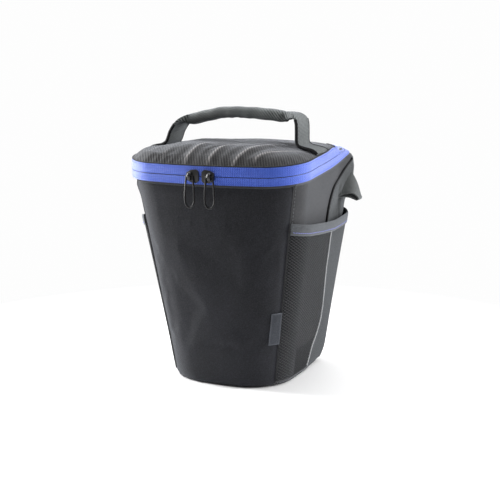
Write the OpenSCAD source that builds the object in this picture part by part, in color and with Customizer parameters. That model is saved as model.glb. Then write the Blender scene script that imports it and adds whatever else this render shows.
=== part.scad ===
// Padded top-loading holster bag for a reflex camera: tapered D-shaped tub, zipped lid, carrying handle,
// side pockets, shoulder-strap ears and belt loop. Millimetres, +Z up, front towards -Y, origin on the floor
// under the middle of the tub.

/* [Tub] */
// Height of the zip line above the floor, over the origin
rim_h = 207; // [190:1:225]
// Rise of the zip line per millimetre towards the back
rim_slope = 0.125; // [0.05:0.005:0.15]
// Width across the zip line
rim_w = 174; // [168:1:182]
// Distance of the zip line in front of the origin
rim_front = 88.5; // [84:0.5:94]
// Distance of the zip line behind the origin
rim_back = 63; // [61:0.5:66]
// Radius of the shallow bow across the front, at the zip line
rim_bow_r = 450; // [350:10:600]
// Radius of the front corners at the zip line
rim_corner_r = 36; // [32:1:40]
// Radius of the rear corners at the zip line
rim_rear_r = 34; // [30:1:38]
// Width of the base
base_w = 116; // [108:1:124]
// Distance of the base's front edge from the origin
base_front = 62; // [58:1:66]
// Radius of the bow across the front, at the base
base_bow_r = 204; // [180:4:260]
// Radius of the front corners at the base
base_corner_r = 42; // [38:1:46]
// Distance of the flat back behind the origin
back_y = 70; // [67:0.5:73]
// Radius of the upright rear corners
back_corner_r = 15; // [13:0.5:20]
// How far the zip band stands out over the panels below it
ledge = 3; // [1:0.25:4]
// How far the lower rear edge is rounded in
rear_tuck = 8; // [2:0.5:10]
// How far the base edge is rounded in all round
base_tuck = 3; // [1:0.5:4]

/* [Layers] */
// Thickness of the outer fabric
skin_t = 1.2; // [0.8:0.1:1.6]
// Thickness of the tub's foam
foam_t = 6; // [3:0.5:7]
// Thickness of the lining
lining_t = 0.8; // [0.5:0.1:1.2]
// Thickness of the lid's foam
lid_foam_t = 3.6; // [2:0.2:4]
// Height of the crown of the lid above the zip line at the origin
lid_rise = 14; // [13:0.5:18]

/* [Zip] */
// Width of each half of the zip tape
tape_w = 9; // [7:0.25:10]
// Thickness of the zip tape
tape_t = 0.9; // [0.6:0.1:1.2]
// Gap between the two halves of the tape
tape_gap = 0.6; // [0.4:0.1:1]
// Distance from a tooth to the next one of the same row
tooth_pitch = 4; // [3.6:0.2:6]
// Length of a tooth along the chain
tooth_len = 1.6; // [1.2:0.1:1.6]
// Height of a tooth
tooth_h = 3; // [2:0.1:3.2]
// Depth of a tooth behind the tape
tooth_d = 1.8; // [1.2:0.1:2.4]
// Lean of the zip band at the rear corners
rear_lean = 75; // [60:1:76]
// Length of a slider along the chain
slider_len = 12; // [10:0.5:13]
// Height of a slider across the chain
slider_h = 12; // [9:0.5:13]
// Distance of a slider's middle from the middle of the front
slider_x = 7.4; // [7.2:0.1:12]
// Length of a pull below its pivot
pull_len = 30; // [20:1:36]
// Greatest width of a pull
pull_w = 9; // [7:0.5:10]
// Thickness of the pull's wire
wire_d = 1.4; // [1:0.1:1.6]

/* [Handle] */
// Width of the handle strap
strap_w = 29; // [24:1:32]
// Thickness of the handle strap
strap_t = 3; // [2:0.25:3.5]
// Distance of the handle in front of the origin
handle_front = 17; // [12:1:22]
// Half of the distance between the handle's feet
handle_foot_x = 66; // [62:1:68]
// Half of the length of the padded grip
grip_half = 50; // [46:1:54]
// Depth of the padded grip, front to back
grip_w = 14; // [12:0.5:18]
// Height of the padded grip
grip_h = 11; // [9:0.5:13]
// Height of the underside of the grip above the lid's crown
grip_gap = 21.5; // [20:0.5:26]
// Thickness of the tabs that hold the handle
tab_t = 1.6; // [1:0.1:2]

/* [Pockets] */
// How far the pocket stands off the side at its mouth
pocket_gap = 7; // [6:0.25:9]
// Thickness of the pocket fabric
pocket_t = 0.9; // [0.6:0.1:1.2]
// Height of the pocket's elastic binding
binding_h = 9.5; // [7:0.5:11]
// Thickness of the binding over the pocket fabric
binding_t = 1; // [0.6:0.1:1.4]
// Height of the pocket's mouth above the floor, at its lowest point
pocket_top = 146; // [135:1:150]
// Height of the pocket's bottom seam above the floor
pocket_bottom = 15; // [12:1:22]

/* [Fittings] */
// Radius of the piping on the sides
piping_r = 1.1; // [0.8:0.1:1.4]
// Thickness of the rear wing fabric
wing_t = 0.8; // [0.5:0.1:1.2]
// Width of the shoulder-strap ears
ear_w = 20; // [16:1:24]
// Radius of the tunnel in an ear
ear_tunnel_r = 3.1; // [3:0.1:3.6]
// Thickness of the ear's fabric
ear_t = 1.3; // [1:0.1:1.6]
// Width of the belt loop
loop_w = 56; // [44:1:64]
// Length of the belt loop
loop_len = 96; // [80:1:110]
// Thickness of the belt loop
loop_t = 2.4; // [1.6:0.2:3]
// Gap between the belt loop and the back
loop_gap = 6; // [5:0.5:8]
// Width of the bare label tab
label_w = 10; // [8:0.5:14]
// Length of the bare label tab
label_len = 31; // [24:1:36]
// Thickness of the bare label tab
label_t = 1; // [0.6:0.1:1.4]

/* [Clearances] */
// Height of the slot that the teeth lie in, from the zip line to the wall on either side
tooth_slot = 1.8; // [1.7:0.1:2.2]
// Clearance between the pieces of different bodies
run_gap = 0.3; // [0.3:0.05:0.4]

/* [Hidden] */

// ---- heights of the rows of the tub, as shares of the zip line's height ----
T_SKIN = skin_t / rim_h;
T_FOAM = (skin_t + foam_t) / rim_h;
T_FLOOR = (skin_t + foam_t + lining_t) / rim_h;
T_SHOULDER = 0.9;
T_LEDGE_LOW = 1 - (tape_w + 2.4) / rim_h;
T_LEDGE_TOP = 1 - (tape_w - 1) / rim_h;
// The slot for the teeth must be deep enough at the front, where the rows lie closest together and the slope
// lifts the wall's top behind each tooth
T_WALL_TOP = 1 - (tooth_slot + rim_slope * (tooth_d + 2 * run_gap)) / (rim_h - 2 * rim_slope * rim_front);
T_ROWS = [T_FOAM, T_FLOOR, 0.07, 0.15, 0.45, 0.75, T_SHOULDER, T_LEDGE_LOW, T_LEDGE_TOP, T_WALL_TOP];
SKIN_ROWS = concat([T_SKIN], T_ROWS);

// ---- stations round the tub: 0 middle of the front, 1-2 front corner, 2-3 side, 3-4 rear corner, 5 middle of
// the back; negative stations are on the left ----
SEAM_U = 1.6;
BACK_SEAM_U = 3.5;
ZIP_END_U = 3.75;
HANDLE_Y = -handle_front;
// Stations of the tabs that hold the handle, in line with the edges of its strap
TAB_U = [for (k = [-0.5, 0, 0.5]) side_u(1, HANDLE_Y + k * strap_w)];
FRONT_HALF = [0, 0.5, 1, 1.2, 1.4, SEAM_U];
SIDE = concat([SEAM_U, 1.8, 2], TAB_U, [2.85, 3, 3.25, BACK_SEAM_U]);
BACK_HALF = [BACK_SEAM_U, 3.75, 4, 4.5, 5];
function backwards(v) = [for (i = [len(v) - 1 : -1 : 0]) v[i]];
function tail(v) = [for (i = [1 : len(v) - 1]) v[i]];
function head(v) = [for (i = [0 : len(v) - 2]) v[i]];
FRONT = concat(head([for (u = backwards(FRONT_HALF)) -u]), FRONT_HALF);
BACK = concat(head(BACK_HALF), [for (u = backwards(BACK_HALF)) -u]);
HALF_LOOP = concat(head(FRONT_HALF), head(SIDE), BACK_HALF);
LOOP = concat(HALF_LOOP, [for (u = head(tail(backwards(HALF_LOOP)))) -u]);

function lerp(a, b, k) = a + (b - a) * k;
function clamp01(k) = min(1, max(0, k));
function smooth(k) = let (c = clamp01(k)) c * c * (3 - 2 * c);

// ---- outline of the tub at a height share t, drawn in by off ----
function tuck(t, depth, t_end) = t >= t_end ? 0 : depth * (1 - sqrt(1 - pow(1 - t / t_end, 2)));
function half_w(t) = lookup(t, [[0, base_w / 2], [T_LEDGE_LOW, rim_w / 2 - ledge], [T_LEDGE_TOP, rim_w / 2],
    [1, rim_w / 2]]);
function front_y(t) = lookup(t, [[0, -base_front], [T_LEDGE_LOW, -rim_front + ledge], [T_LEDGE_TOP, -rim_front],
    [1, -rim_front]]);
function rear_y(t) = lookup(t, [[0, back_y], [T_SHOULDER, back_y], [T_LEDGE_TOP, lerp(back_y, rim_back, 0.3)],
    [1, rim_back]]) - tuck(t, rear_tuck, 0.15);
function rear_r(t) = lookup(t, [[0, back_corner_r], [T_SHOULDER, back_corner_r],
    [T_LEDGE_TOP, lerp(back_corner_r, rim_rear_r, 0.4)], [1, rim_rear_r]]);
function bow_r(t) = lerp(base_bow_r, rim_bow_r, t);
function corner_r(t) = lerp(base_corner_r, rim_corner_r, t);

// Plan position at station u (0 to 5) of a D with half width w, front yf, back yb, bow r, corner rc, rear rb
function d_point(u, w, yf, yb, r, rc, rb) =
    let (cx = w - rc, cy = yf + r - sqrt(pow(r - rc, 2) - cx * cx), turn = atan2(cx, yf + r - cy))
    u <= 1 ? [r * sin(turn * u), yf + r - r * cos(turn * u)] :
    u <= 2 ? let (a = lerp(turn, 90, u - 1)) [cx + rc * sin(a), cy - rc * cos(a)] :
    u <= 3 ? [w, lerp(cy, yb - rb, u - 2)] :
    u <= 4 ? let (a = 90 * (u - 3)) [w - rb + rb * cos(a), yb - rb + rb * sin(a)] :
    [lerp(w - rb, 0, u - 4), yb];
function plan(u, t, off) =
    let (o = off + tuck(t, base_tuck, 0.03),
        p = d_point(abs(u), half_w(t) - o, front_y(t) + o, rear_y(t) - o, bow_r(t) - o, corner_r(t) - o,
            rear_r(t) - o))
    [sign(u) < 0 ? -p[0] : p[0], p[1]];

// The band's rows rise towards the zip line at the rear, where the band lies back
REAR_LIFT = 4.5;
function rearness(u) = smooth((abs(u) - 2.45) / 0.8);
function row_lift(u, t) = REAR_LIFT * rearness(u)
    * lookup(t, [[0, 0], [0.75, 0], [T_LEDGE_LOW, 1], [T_LEDGE_TOP, 1], [1, 0]]);
function wall(u, t, off) = let (p = plan(u, t, off))
    [p[0], p[1], rim_h * t + rim_slope * p[1] * t * t + row_lift(u, t)];
function rim_z(y) = rim_h + rim_slope * y;

// Station of depth y on the straight side, and height share of height z there
function side_start(t) = let (w = half_w(t), rc = corner_r(t), r = bow_r(t))
    front_y(t) + r - sqrt(pow(r - rc, 2) - pow(w - rc, 2));
function side_u(t, y) = 2 + (y - side_start(t)) / (rear_y(t) - rear_r(t) - side_start(t));
function share(z) = z / rim_h;

// ---- solids between grids of points ----
function flat(rows) = [for (row = rows) for (p = row) p];
function quad(a, b, c, d) = [[a, b, c], [a, c, d]];
// The left is split the other way, so that it mirrors the right and neighbours share their triangles
function split(left, a, b, c, d) = left ? quad(b, c, d, a) : quad(a, b, c, d);
// Skin between grid a (outside) and grid b (inside); rows run upward along each column, columns run
// anticlockwise from above
module sheet(a, b, closed = false) {
    n = len(a);
    m = len(a[0]);
    last = closed ? n - 1 : n - 2;
    function ia(i, j) = (i % n) * m + j;
    function ib(i, j) = n * m + (i % n) * m + j;
    function left(i) = a[i][0][0] + a[(i + 1) % n][0][0] < 0;
    faces = concat(
        [for (i = [0 : last]) for (j = [0 : m - 2])
            each split(left(i), ia(i, j), ia(i, j + 1), ia(i + 1, j + 1), ia(i + 1, j))],
        [for (i = [0 : last]) for (j = [0 : m - 2])
            each split(left(i), ib(i, j), ib(i + 1, j), ib(i + 1, j + 1), ib(i, j + 1))],
        [for (i = [0 : last]) each split(left(i), ia(i, 0), ia(i + 1, 0), ib(i + 1, 0), ib(i, 0))],
        [for (i = [0 : last])
            each split(left(i), ia(i, m - 1), ib(i, m - 1), ib(i + 1, m - 1), ia(i + 1, m - 1))],
        closed ? [] : [for (j = [0 : m - 2]) each quad(ia(0, j), ib(0, j), ib(0, j + 1), ia(0, j + 1))],
        closed ? [] : [for (j = [0 : m - 2]) each quad(ia(n - 1, j), ia(n - 1, j + 1), ib(n - 1, j + 1), ib(n - 1, j))]);
    polyhedron(points = concat(flat(a), flat(b)), faces = faces);
}
// Triangles from a ring's edge to a point inside it
function fan(n, first, centre, up) = [for (i = [0 : n - 1]) let (k = (i + 1) % n)
    up ? [first + i, centre, first + k] : [first + i, first + k, centre]];
function middle(ring) = (ring[0] + ring[len(ring) / 2]) / 2;
// Triangles between neighbouring rings of n points, the second half on the left, where inside turns them over
function bands(n, rings, first, inside = false) = [for (j = [0 : rings - 2]) for (i = [0 : n - 1])
    let (k = (i + 1) % n, a = first + j * n + i, b = first + j * n + k)
    each inside ? split(i >= n / 2, a, b, b + n, a + n) : split(i >= n / 2, a, a + n, b + n, b)];
// Solid through rings from the bottom upward
module stack(rings) {
    n = len(rings[0]);
    m = len(rings);
    polyhedron(points = concat(flat(rings), [middle(rings[0]), middle(rings[m - 1])]),
        faces = concat(bands(n, m, 0), fan(n, 0, n * m, false), fan(n, (m - 1) * n, n * m + 1, true)));
}
// Bowl upside down: rings a outside and b inside, from the edge upward to a closed crown
module cap(a, b) {
    n = len(a[0]);
    m = len(a);
    s = n * m;
    polyhedron(points = concat(flat(a), flat(b), [middle(a[m - 1]), middle(b[m - 1])]),
        faces = concat(bands(n, m, 0), bands(n, m, s, true), fan(n, (m - 1) * n, 2 * s, true),
            fan(n, s + (m - 1) * n, 2 * s + 1, false),
            [for (i = [0 : n - 1]) let (k = (i + 1) % n) each split(i >= n / 2, i, k, s + k, s + i)]));
}
// Tube of radius r along a path; up is a direction that the path never runs along
function unit(v) = v / norm(v);
function tube_ring(before, at, after, r, sides, up) =
    let (way = unit(unit(at - before) + unit(after - at)), x = unit(cross(way, up)), y = cross(x, way))
    [for (i = [0 : sides - 1]) let (q = 360 * i / sides) at + r * (cos(q) * x + sin(q) * y)];
module tube(path, r, sides, up) {
    last = len(path) - 1;
    stack([for (i = [0 : last]) tube_ring(i == 0 ? 2 * path[0] - path[1] : path[i - 1], path[i],
        i == last ? 2 * path[last] - path[last - 1] : path[i + 1], r, sides, up)]);
}
// Closed tube along a path that lies in a plane square to up
module hoop(path, r, sides, up) {
    n = len(path);
    rings = [for (i = [0 : n - 1]) tube_ring(path[(i + n - 1) % n], path[i], path[(i + 1) % n], r, sides, up)];
    polyhedron(points = flat(rings), faces = [for (i = [0 : n - 1]) for (j = [0 : sides - 1])
        let (k = (i + 1) % n, l = (j + 1) % sides)
        each quad(i * sides + j, k * sides + j, k * sides + l, i * sides + l)]);
}
module wall_part(stations, rows, outer, inner, closed = false) {
    sheet([for (u = stations) [for (t = rows) wall(u, t, outer)]],
        [for (u = stations) [for (t = rows) wall(u, t, inner)]], closed);
}
module on_left() mirror([1, 0, 0]) children();

// ---- tub ----
OFF_FOAM = skin_t;
OFF_LINING = skin_t + foam_t;
OFF_INSIDE = skin_t + foam_t + lining_t;
module front_panel() color([0.10, 0.10, 0.12]) wall_part(FRONT, SKIN_ROWS, 0, skin_t);
module side_panel_right() color([0.27, 0.28, 0.31]) wall_part(SIDE, SKIN_ROWS, 0, skin_t);
module side_panel_left() on_left() side_panel_right();
module back_panel() color([0.16, 0.16, 0.18]) wall_part(BACK, SKIN_ROWS, 0, skin_t);
module base_panel() color([0.13, 0.13, 0.15])
    stack([[for (u = LOOP) wall(u, 0, 0)], [for (u = LOOP) wall(u, T_SKIN, 0)]]);
module foam_front() color([0.24, 0.24, 0.25]) wall_part(FRONT, T_ROWS, OFF_FOAM, OFF_LINING);
module foam_right() color([0.24, 0.24, 0.25]) wall_part(SIDE, T_ROWS, OFF_FOAM, OFF_LINING);
module foam_left() on_left() foam_right();
module foam_back() color([0.24, 0.24, 0.25]) wall_part(BACK, T_ROWS, OFF_FOAM, OFF_LINING);
module foam_base() color([0.24, 0.24, 0.25])
    stack([[for (u = LOOP) wall(u, T_SKIN, OFF_FOAM)], [for (u = LOOP) wall(u, T_FOAM, OFF_FOAM)]]);
module lining() color([0.33, 0.34, 0.37]) union() {
    wall_part(LOOP, T_ROWS, OFF_LINING, OFF_INSIDE, true);
    stack([[for (u = LOOP) wall(u, T_FOAM, OFF_INSIDE)], [for (u = LOOP) wall(u, T_FLOOR, OFF_INSIDE)]]);
}

// ---- zip band ----
T_TAPE_TOP = 1 - tape_gap / 2 / rim_h;
TAPE_ROWS = [T_LEDGE_TOP, T_WALL_TOP, T_TAPE_TOP];
ZIP_HALF = concat([for (u = [0 : 0.25 : 0.75]) u], [for (u = [1 : 0.1 : 1.9]) u],
    [for (u = tail(tail(SIDE))) u], [ZIP_END_U]);
ZIP_STATIONS = concat(head([for (u = backwards(ZIP_HALF)) -u]), ZIP_HALF);
function lean(u) = rear_lean * rearness(u);
// Point of the wall moved out square to the leaning band
function band(u, t, out) = let (p = wall(u, t, -out * cos(lean(u))))
    [p[0], p[1], p[2] + out * sin(lean(u))];
module zip_tape_lower() color([0.17, 0.20, 0.55])
    sheet([for (u = ZIP_STATIONS) [for (t = TAPE_ROWS) band(u, t, tape_t)]],
        [for (u = ZIP_STATIONS) [for (t = TAPE_ROWS) band(u, t, 0)]]);

// Teeth: boxes behind the tape, every tooth_pitch along the zip line
RIM_CX = rim_w / 2 - rim_corner_r;
RIM_CY = -rim_front + rim_bow_r - sqrt(pow(rim_bow_r - rim_corner_r, 2) - RIM_CX * RIM_CX);
RIM_TURN = atan2(RIM_CX, -rim_front + rim_bow_r - RIM_CY);
LEN_BOW = rim_bow_r * RIM_TURN * PI / 180;
LEN_CORNER = rim_corner_r * (90 - RIM_TURN) * PI / 180;
LEN_SIDE = rim_back - rim_rear_r - RIM_CY;
function zip_station(s) = s < LEN_BOW ? s / LEN_BOW :
    s < LEN_BOW + LEN_CORNER ? 1 + (s - LEN_BOW) / LEN_CORNER : 2 + (s - LEN_BOW - LEN_CORNER) / LEN_SIDE;
// Distance of the tape's chords inside the true zip line
function chord_in(u) = u < 1 ? 0.06 : u < 2 ? 0.13 : 0.02;
function heading(u) = u < 1 ? RIM_TURN * u : u < 2 ? lerp(RIM_TURN, 90, u - 1) : 90;
// The teeth end where the wall starts to rise behind the band
TEETH_END_U = 2.8;
TEETH_END = LEN_BOW + LEN_CORNER + (TEETH_END_U - 2) * LEN_SIDE;
// How far the leaning tape reaches inward at height h above the zip line
function tape_in(u, h) = h * tan(lean(u));
// Each tooth has a body clear of both halves of the tape and a root that is sewn to its own half; where that half
// leans inward, the root is slim
module tooth_row(first, body_low, root_low, leans) {
    root_full = tooth_slot - tape_gap / 2 - 0.1;
    for (side = [-1, 1]) for (s = [first : tooth_pitch : TEETH_END]) {
        u = zip_station(s);
        p = plan(u, 1, 0);
        root_h = leans && lean(u) > 0 ? 0.1 * root_full : root_full;
        root_in = leans ? tape_in(u, root_low + root_h) : 0;
        body_in = leans ? max(run_gap, tape_in(u, body_low + tooth_h) + 0.05) : run_gap;
        if (s > 0.01 || side > 0)
            translate([side * p[0], p[1], rim_z(p[1])])
                rotate([0, 0, side * heading(u)])
                    translate([-tooth_len / 2, chord_in(u), 0]) union() {
                        translate([0, body_in, body_low]) cube([tooth_len, tooth_d, tooth_h]);
                        translate([0, root_in, root_low]) cube([tooth_len, body_in - root_in + 0.1, root_h]);
                    }
    }
}
module zip_teeth_lower() color([0.05, 0.05, 0.06])
    tooth_row(0, 0.1 - tooth_slot, 0.1 - tooth_slot, false);
module zip_teeth_upper() color([0.05, 0.05, 0.06])
    tooth_row(tooth_pitch / 2, tooth_slot - 0.1 - tooth_h, tape_gap / 2, true);

// ---- lid ----
// Rings of the lid: edge, top of the tape, then the crown closing in to a ridge line
CROWN = [0.93, 0.82, 0.7, 0.35];
CROWN_Z = rim_h + lid_rise;
RIDGE_FRONT = -45;
RIDGE_BACK = 15;
EDGE_THIN = 0.3;
function thin(u) = lerp(1, EDGE_THIN, rearness(u));
function edge_low(u) = lerp(tooth_slot, 0.4, smooth((abs(u) - 3.1) / 0.4));
function lid_edge(u, d) = let (p = plan(u, 1, d * thin(u))) [p[0], p[1], rim_z(plan(u, 1, 0)[1]) + edge_low(u)];
function lid_shoulder(u, d) = let (p = plan(u, 1, tape_w * sin(lean(u)) + d * thin(u)))
    [p[0], p[1], rim_z(plan(u, 1, 0)[1]) + tape_w * cos(lean(u)) - d * thin(u)];
function lid_crown(u, k, d) = let (e = lid_shoulder(u, d), top = lid_shoulder(u, 0)[2],
        y0 = min(RIDGE_BACK, max(RIDGE_FRONT, e[1])), full = clamp01((1 - k) / 0.12))
    [e[0] * k, y0 + (e[1] - y0) * k, top + (CROWN_Z - top) * (1 - pow(k, 4)) - d * lerp(thin(u), 1, full)];
function lid_rings(d) = concat([[for (u = LOOP) lid_edge(u, d)], [for (u = LOOP) lid_shoulder(u, d)]],
    [for (k = CROWN) [for (u = LOOP) lid_crown(u, k, d)]]);
LID_FOAM_D = skin_t + lid_foam_t;
module lid_top() color([0.20, 0.20, 0.21]) cap(lid_rings(0), lid_rings(skin_t));
module lid_foam() color([0.24, 0.24, 0.25]) cap(lid_rings(skin_t), lid_rings(LID_FOAM_D));
module lid_lining() color([0.33, 0.34, 0.37]) cap(lid_rings(LID_FOAM_D), lid_rings(LID_FOAM_D + lining_t));
// Upper half of the band: from just above the zip line to the lid's shoulder
function band_out(p, u, out) = let (q = lean(u), w = plan(u, 1, -1) - plan(u, 1, 0))
    [p[0] + w[0] * out * cos(q), p[1] + w[1] * out * cos(q), p[2] + out * sin(q)];
function upper_low(u) = let (e = lid_edge(u, 0), s = lid_shoulder(u, 0), k = tape_gap / 2 / tape_w)
    let (p = plan(u, 1, 0)) [lerp(p[0], s[0], k), lerp(p[1], s[1], k), lerp(rim_z(p[1]), s[2], k)];
function upper_column(u, out) = [for (p = edge_low(u) > tape_gap
    ? [upper_low(u), lid_edge(u, 0), lid_shoulder(u, 0)]
    : [lid_edge(u, 0), lerp(lid_edge(u, 0), lid_shoulder(u, 0), 0.2), lid_shoulder(u, 0)]) band_out(p, u, out)];
module zip_tape_upper() color([0.17, 0.20, 0.55])
    sheet([for (u = ZIP_STATIONS) upper_column(u, tape_t)], [for (u = ZIP_STATIONS) upper_column(u, 0)]);

// ---- cloth hinge along the back: one half on the tub, one on the lid ----
HINGE_HALF_W = rim_w / 2 - rim_rear_r;
// The hinge line lies just above the top of the back, so that the lid's strip turns clear of it
HINGE_DROP = 0.45;
HINGE_Z = rim_z(rim_back) - HINGE_DROP;
HINGE_Y = rim_back + tape_t;
module hinge_strip_lower() color([0.12, 0.12, 0.13])
    let (edge = wall(5, lerp(T_LEDGE_TOP, T_WALL_TOP, 0.6), 0), foot = wall(5, T_LEDGE_TOP, 0), way = unit(edge - foot),
        out = tape_t * [0, way[2], -way[1]])
    rotate([90, 0, 90]) linear_extrude(height = 2 * HINGE_HALF_W, center = true)
        polygon([for (p = [foot, foot + out, edge + out, edge]) [p[1], p[2]]]);
module hinge_strip_upper() color([0.12, 0.12, 0.13])
    let (e = lid_edge(5, 0), s = lid_shoulder(5, 0))
    rotate([90, 0, 90]) linear_extrude(height = 2 * HINGE_HALF_W, center = true)
        polygon([[e[1], e[2]], [s[1], s[2]], [s[1], s[2] + tape_t], [e[1] + tape_t, e[2] + tape_t / 3],
            [e[1] + tape_t, HINGE_Z + run_gap], [e[1], HINGE_Z + run_gap + 0.2]]);

// ---- side pocket ----
POCKET_END_U = 3.45;
POCKET_ROWS = 6;
POCKET_MOUTH = [[SEAM_U, 8], [2.3, 1], [2.6, 0], [3, 3.5], [POCKET_END_U, 9]];
function mouth_t(u) = share(pocket_top + lookup(u, POCKET_MOUTH));
function pocket_t_at(u, k) = lerp(share(pocket_bottom), mouth_t(u), k);
// The pocket lies closely on the side, with room for the flats of the rear corner
POCKET_CLEAR = [[2.85, 0.15], [3, 0.45]];
function stand_off(u, k) = lookup(u, POCKET_CLEAR) + pocket_gap * pow(max(0, sin(180 * (u - SEAM_U) / (POCKET_END_U - SEAM_U))), 0.8)
    * pow(k, 1.3);
// Seam between the net and the solid gusset: depth against height share of the pocket
MESH_SEAM = [[0, 4], [0.1, 20], [0.3, 31], [0.5, 32], [0.85, 42], [1, 46]];
function mesh_end_u(k) = side_u(pocket_t_at(2.8, k), lookup(k, MESH_SEAM));
function pocket_point(u, k, extra) = wall(u, pocket_t_at(u, k), -stand_off(u, k) - extra);
MESH_COLUMNS = [0, 0.14, 0.28, 0.45, 0.62, 0.8, 1];
// Columns up to where the rear corner starts, then round it
GUSSET_BEND = 0.7;
GUSSET_COLUMNS = [0, 0.35, GUSSET_BEND, 0.85, 1];
function mesh_u(c, k) = c < 0.3 ? lookup(c, [[0, SEAM_U], [0.14, 1.8], [0.28, 2]])
    : lerp(2, mesh_end_u(k), (c - 0.28) / 0.72);
function gusset_u(c, k) = lookup(c, [[0, mesh_end_u(k)], [GUSSET_BEND, 3], [1, POCKET_END_U]]);
// One row more where the base is tucked in
POCKET_TUCK = 0.08;
ROW_SHARES = concat([0, POCKET_TUCK], [for (j = [1 : POCKET_ROWS]) j / POCKET_ROWS]);
BIND_SHARE = 1 - binding_h / (pocket_top - pocket_bottom);
module pocket_mesh_right() color([0.30, 0.31, 0.35])
    sheet([for (c = MESH_COLUMNS) [for (k = ROW_SHARES) pocket_point(mesh_u(c, k), k, pocket_t)]],
        [for (c = MESH_COLUMNS) [for (k = ROW_SHARES) pocket_point(mesh_u(c, k), k, 0)]]);
module pocket_mesh_left() on_left() pocket_mesh_right();
module pocket_gusset_right() color([0.25, 0.26, 0.29])
    sheet([for (c = GUSSET_COLUMNS) [for (k = ROW_SHARES) pocket_point(gusset_u(c, k), k, pocket_t)]],
        [for (c = GUSSET_COLUMNS) [for (k = ROW_SHARES) pocket_point(gusset_u(c, k), k, 0)]]);
module pocket_gusset_left() on_left() pocket_gusset_right();
module pocket_binding_right() color([0.22, 0.23, 0.29]) {
    columns = concat([for (c = MESH_COLUMNS) [0, c]], [for (c = tail(GUSSET_COLUMNS)) [1, c]]);
    rows = [BIND_SHARE, lerp(BIND_SHARE, 1, 0.5), 1];
    sheet([for (c = columns) [for (k = rows)
            pocket_point(c[0] == 0 ? mesh_u(c[1], k) : gusset_u(c[1], k), k, pocket_t + 0.1 + binding_t)]],
        [for (c = columns) [for (k = rows)
            pocket_point(c[0] == 0 ? mesh_u(c[1], k) : gusset_u(c[1], k), k, pocket_t + 0.1)]]);
}
module pocket_binding_left() on_left() pocket_binding_right();

// ---- rear wing with piping along its front and top edge ----
// Depth and height of the piping on the side, from the pocket up to the zip band
PIPING = [[8, pocket_top + 5], [9, pocket_top + 14], [11, rim_h - 35], [13.5, rim_h - 29], [18, rim_h - 26],
    [34, rim_h - 23], [38, rim_h - 20.5], [39, rim_h - 15]];
function on_side(y, z, out) = wall(side_u(share(z), y), share(z), -out);
module piping_right() color([0.05, 0.05, 0.06])
    tube([for (q = PIPING) on_side(q[0], q[1], piping_r + 0.05)], piping_r, 8, [1, 0, 0]);
module piping_left() on_left() piping_right();
WING_BACK = 1.3 * piping_r;
WING_STATIONS = [3, 3.25, BACK_SEAM_U - 0.02];
// Height at which the wing starts behind the pocket's mouth
WING_LOW = pocket_top + 10;
WING_TOP = rim_h * T_LEDGE_LOW - 1;
WING_EDGE = 41;
WING_SHOULDER = rim_h * T_SHOULDER;
function wing_rows(top) = let (mid = min(WING_SHOULDER, lerp(WING_LOW, top, 0.7)))
    [WING_LOW, lerp(WING_LOW, mid, 0.5), top > WING_SHOULDER ? WING_SHOULDER : mid, top];
function wing_column(y, top, out) = [for (z = wing_rows(top)) on_side(y, z, out)];
function wing_grid(out) = concat([wing_column(PIPING[2][0] + WING_BACK, PIPING[2][1], out)],
    [for (i = [4 : 6]) wing_column(PIPING[i][0] + WING_BACK, PIPING[i][1] - WING_BACK, out)],
    [wing_column(WING_EDGE, WING_TOP, out)],
    [for (u = WING_STATIONS) [for (z = wing_rows(WING_TOP)) wall(u, share(z), -out)]]);
module rear_wing_right() color([0.30, 0.31, 0.34]) sheet(wing_grid(wing_t + 0.08), wing_grid(0.08));
module rear_wing_left() on_left() rear_wing_right();

// ---- shoulder-strap ear: folded webbing with a tunnel at its tip ----
EAR_Z = 188;
EAR_ROOT = [half_w(share(EAR_Z)) + wing_t + 0.1, 50, EAR_Z];
EAR_DROP = 50;
EAR_REACH = 21;
module strap_ear_right() color([0.10, 0.10, 0.11])
    translate(EAR_ROOT) rotate([0, EAR_DROP, 0]) rotate([90, 0, 0])
        difference() {
            linear_extrude(height = ear_w, center = true) union() {
                polygon([[0, 0], [2 * ear_t * tan(EAR_DROP), -2 * ear_t], [EAR_REACH - ear_tunnel_r, -2 * ear_t], [EAR_REACH - ear_tunnel_r, 0]]);
                translate([EAR_REACH, -ear_tunnel_r]) circle(r = ear_tunnel_r + ear_t, $fn = 32);
            }
            translate([EAR_REACH, -ear_tunnel_r, 0]) cylinder(h = ear_w + 2, r = ear_tunnel_r, center = true, $fn = 32);
        }
module strap_ear_left() on_left() strap_ear_right();

// ---- belt loop on the back ----
LOOP_Z = 78;
LOOP_SEWN = 12;
module belt_loop() color([0.10, 0.10, 0.11])
    translate([0, back_y, LOOP_Z]) rotate([90, 0, 90]) linear_extrude(height = loop_w, center = true)
        difference() {
            polygon([[0, 0], [loop_t, 0], [loop_t, LOOP_SEWN], [loop_gap + loop_t, LOOP_SEWN + 8],
                [loop_gap + loop_t, loop_len - LOOP_SEWN - 8], [loop_t, loop_len - LOOP_SEWN], [loop_t, loop_len],
                [0, loop_len]]);
            polygon([[-1, LOOP_SEWN + 1], [0, LOOP_SEWN + 1], [loop_gap, LOOP_SEWN + 9],
                [loop_gap, loop_len - LOOP_SEWN - 9], [0, loop_len - LOOP_SEWN - 1],
                [-1, loop_len - LOOP_SEWN - 1]]);
        }

// ---- bare label tab, sewn into the seam at the front right corner ----
LABEL_Z = 42;
LABEL_U = 1.6 - label_w / 54;
module label_tab() color([0.45, 0.46, 0.48])
    sheet([for (u = [LABEL_U, (LABEL_U + SEAM_U) / 2, SEAM_U]) [for (z = [LABEL_Z, LABEL_Z + label_len]) wall(u, share(z), -label_t - 0.1)]],
        [for (u = [LABEL_U, (LABEL_U + SEAM_U) / 2, SEAM_U]) [for (z = [LABEL_Z, LABEL_Z + label_len]) wall(u, share(z), -0.1)]]);

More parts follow.
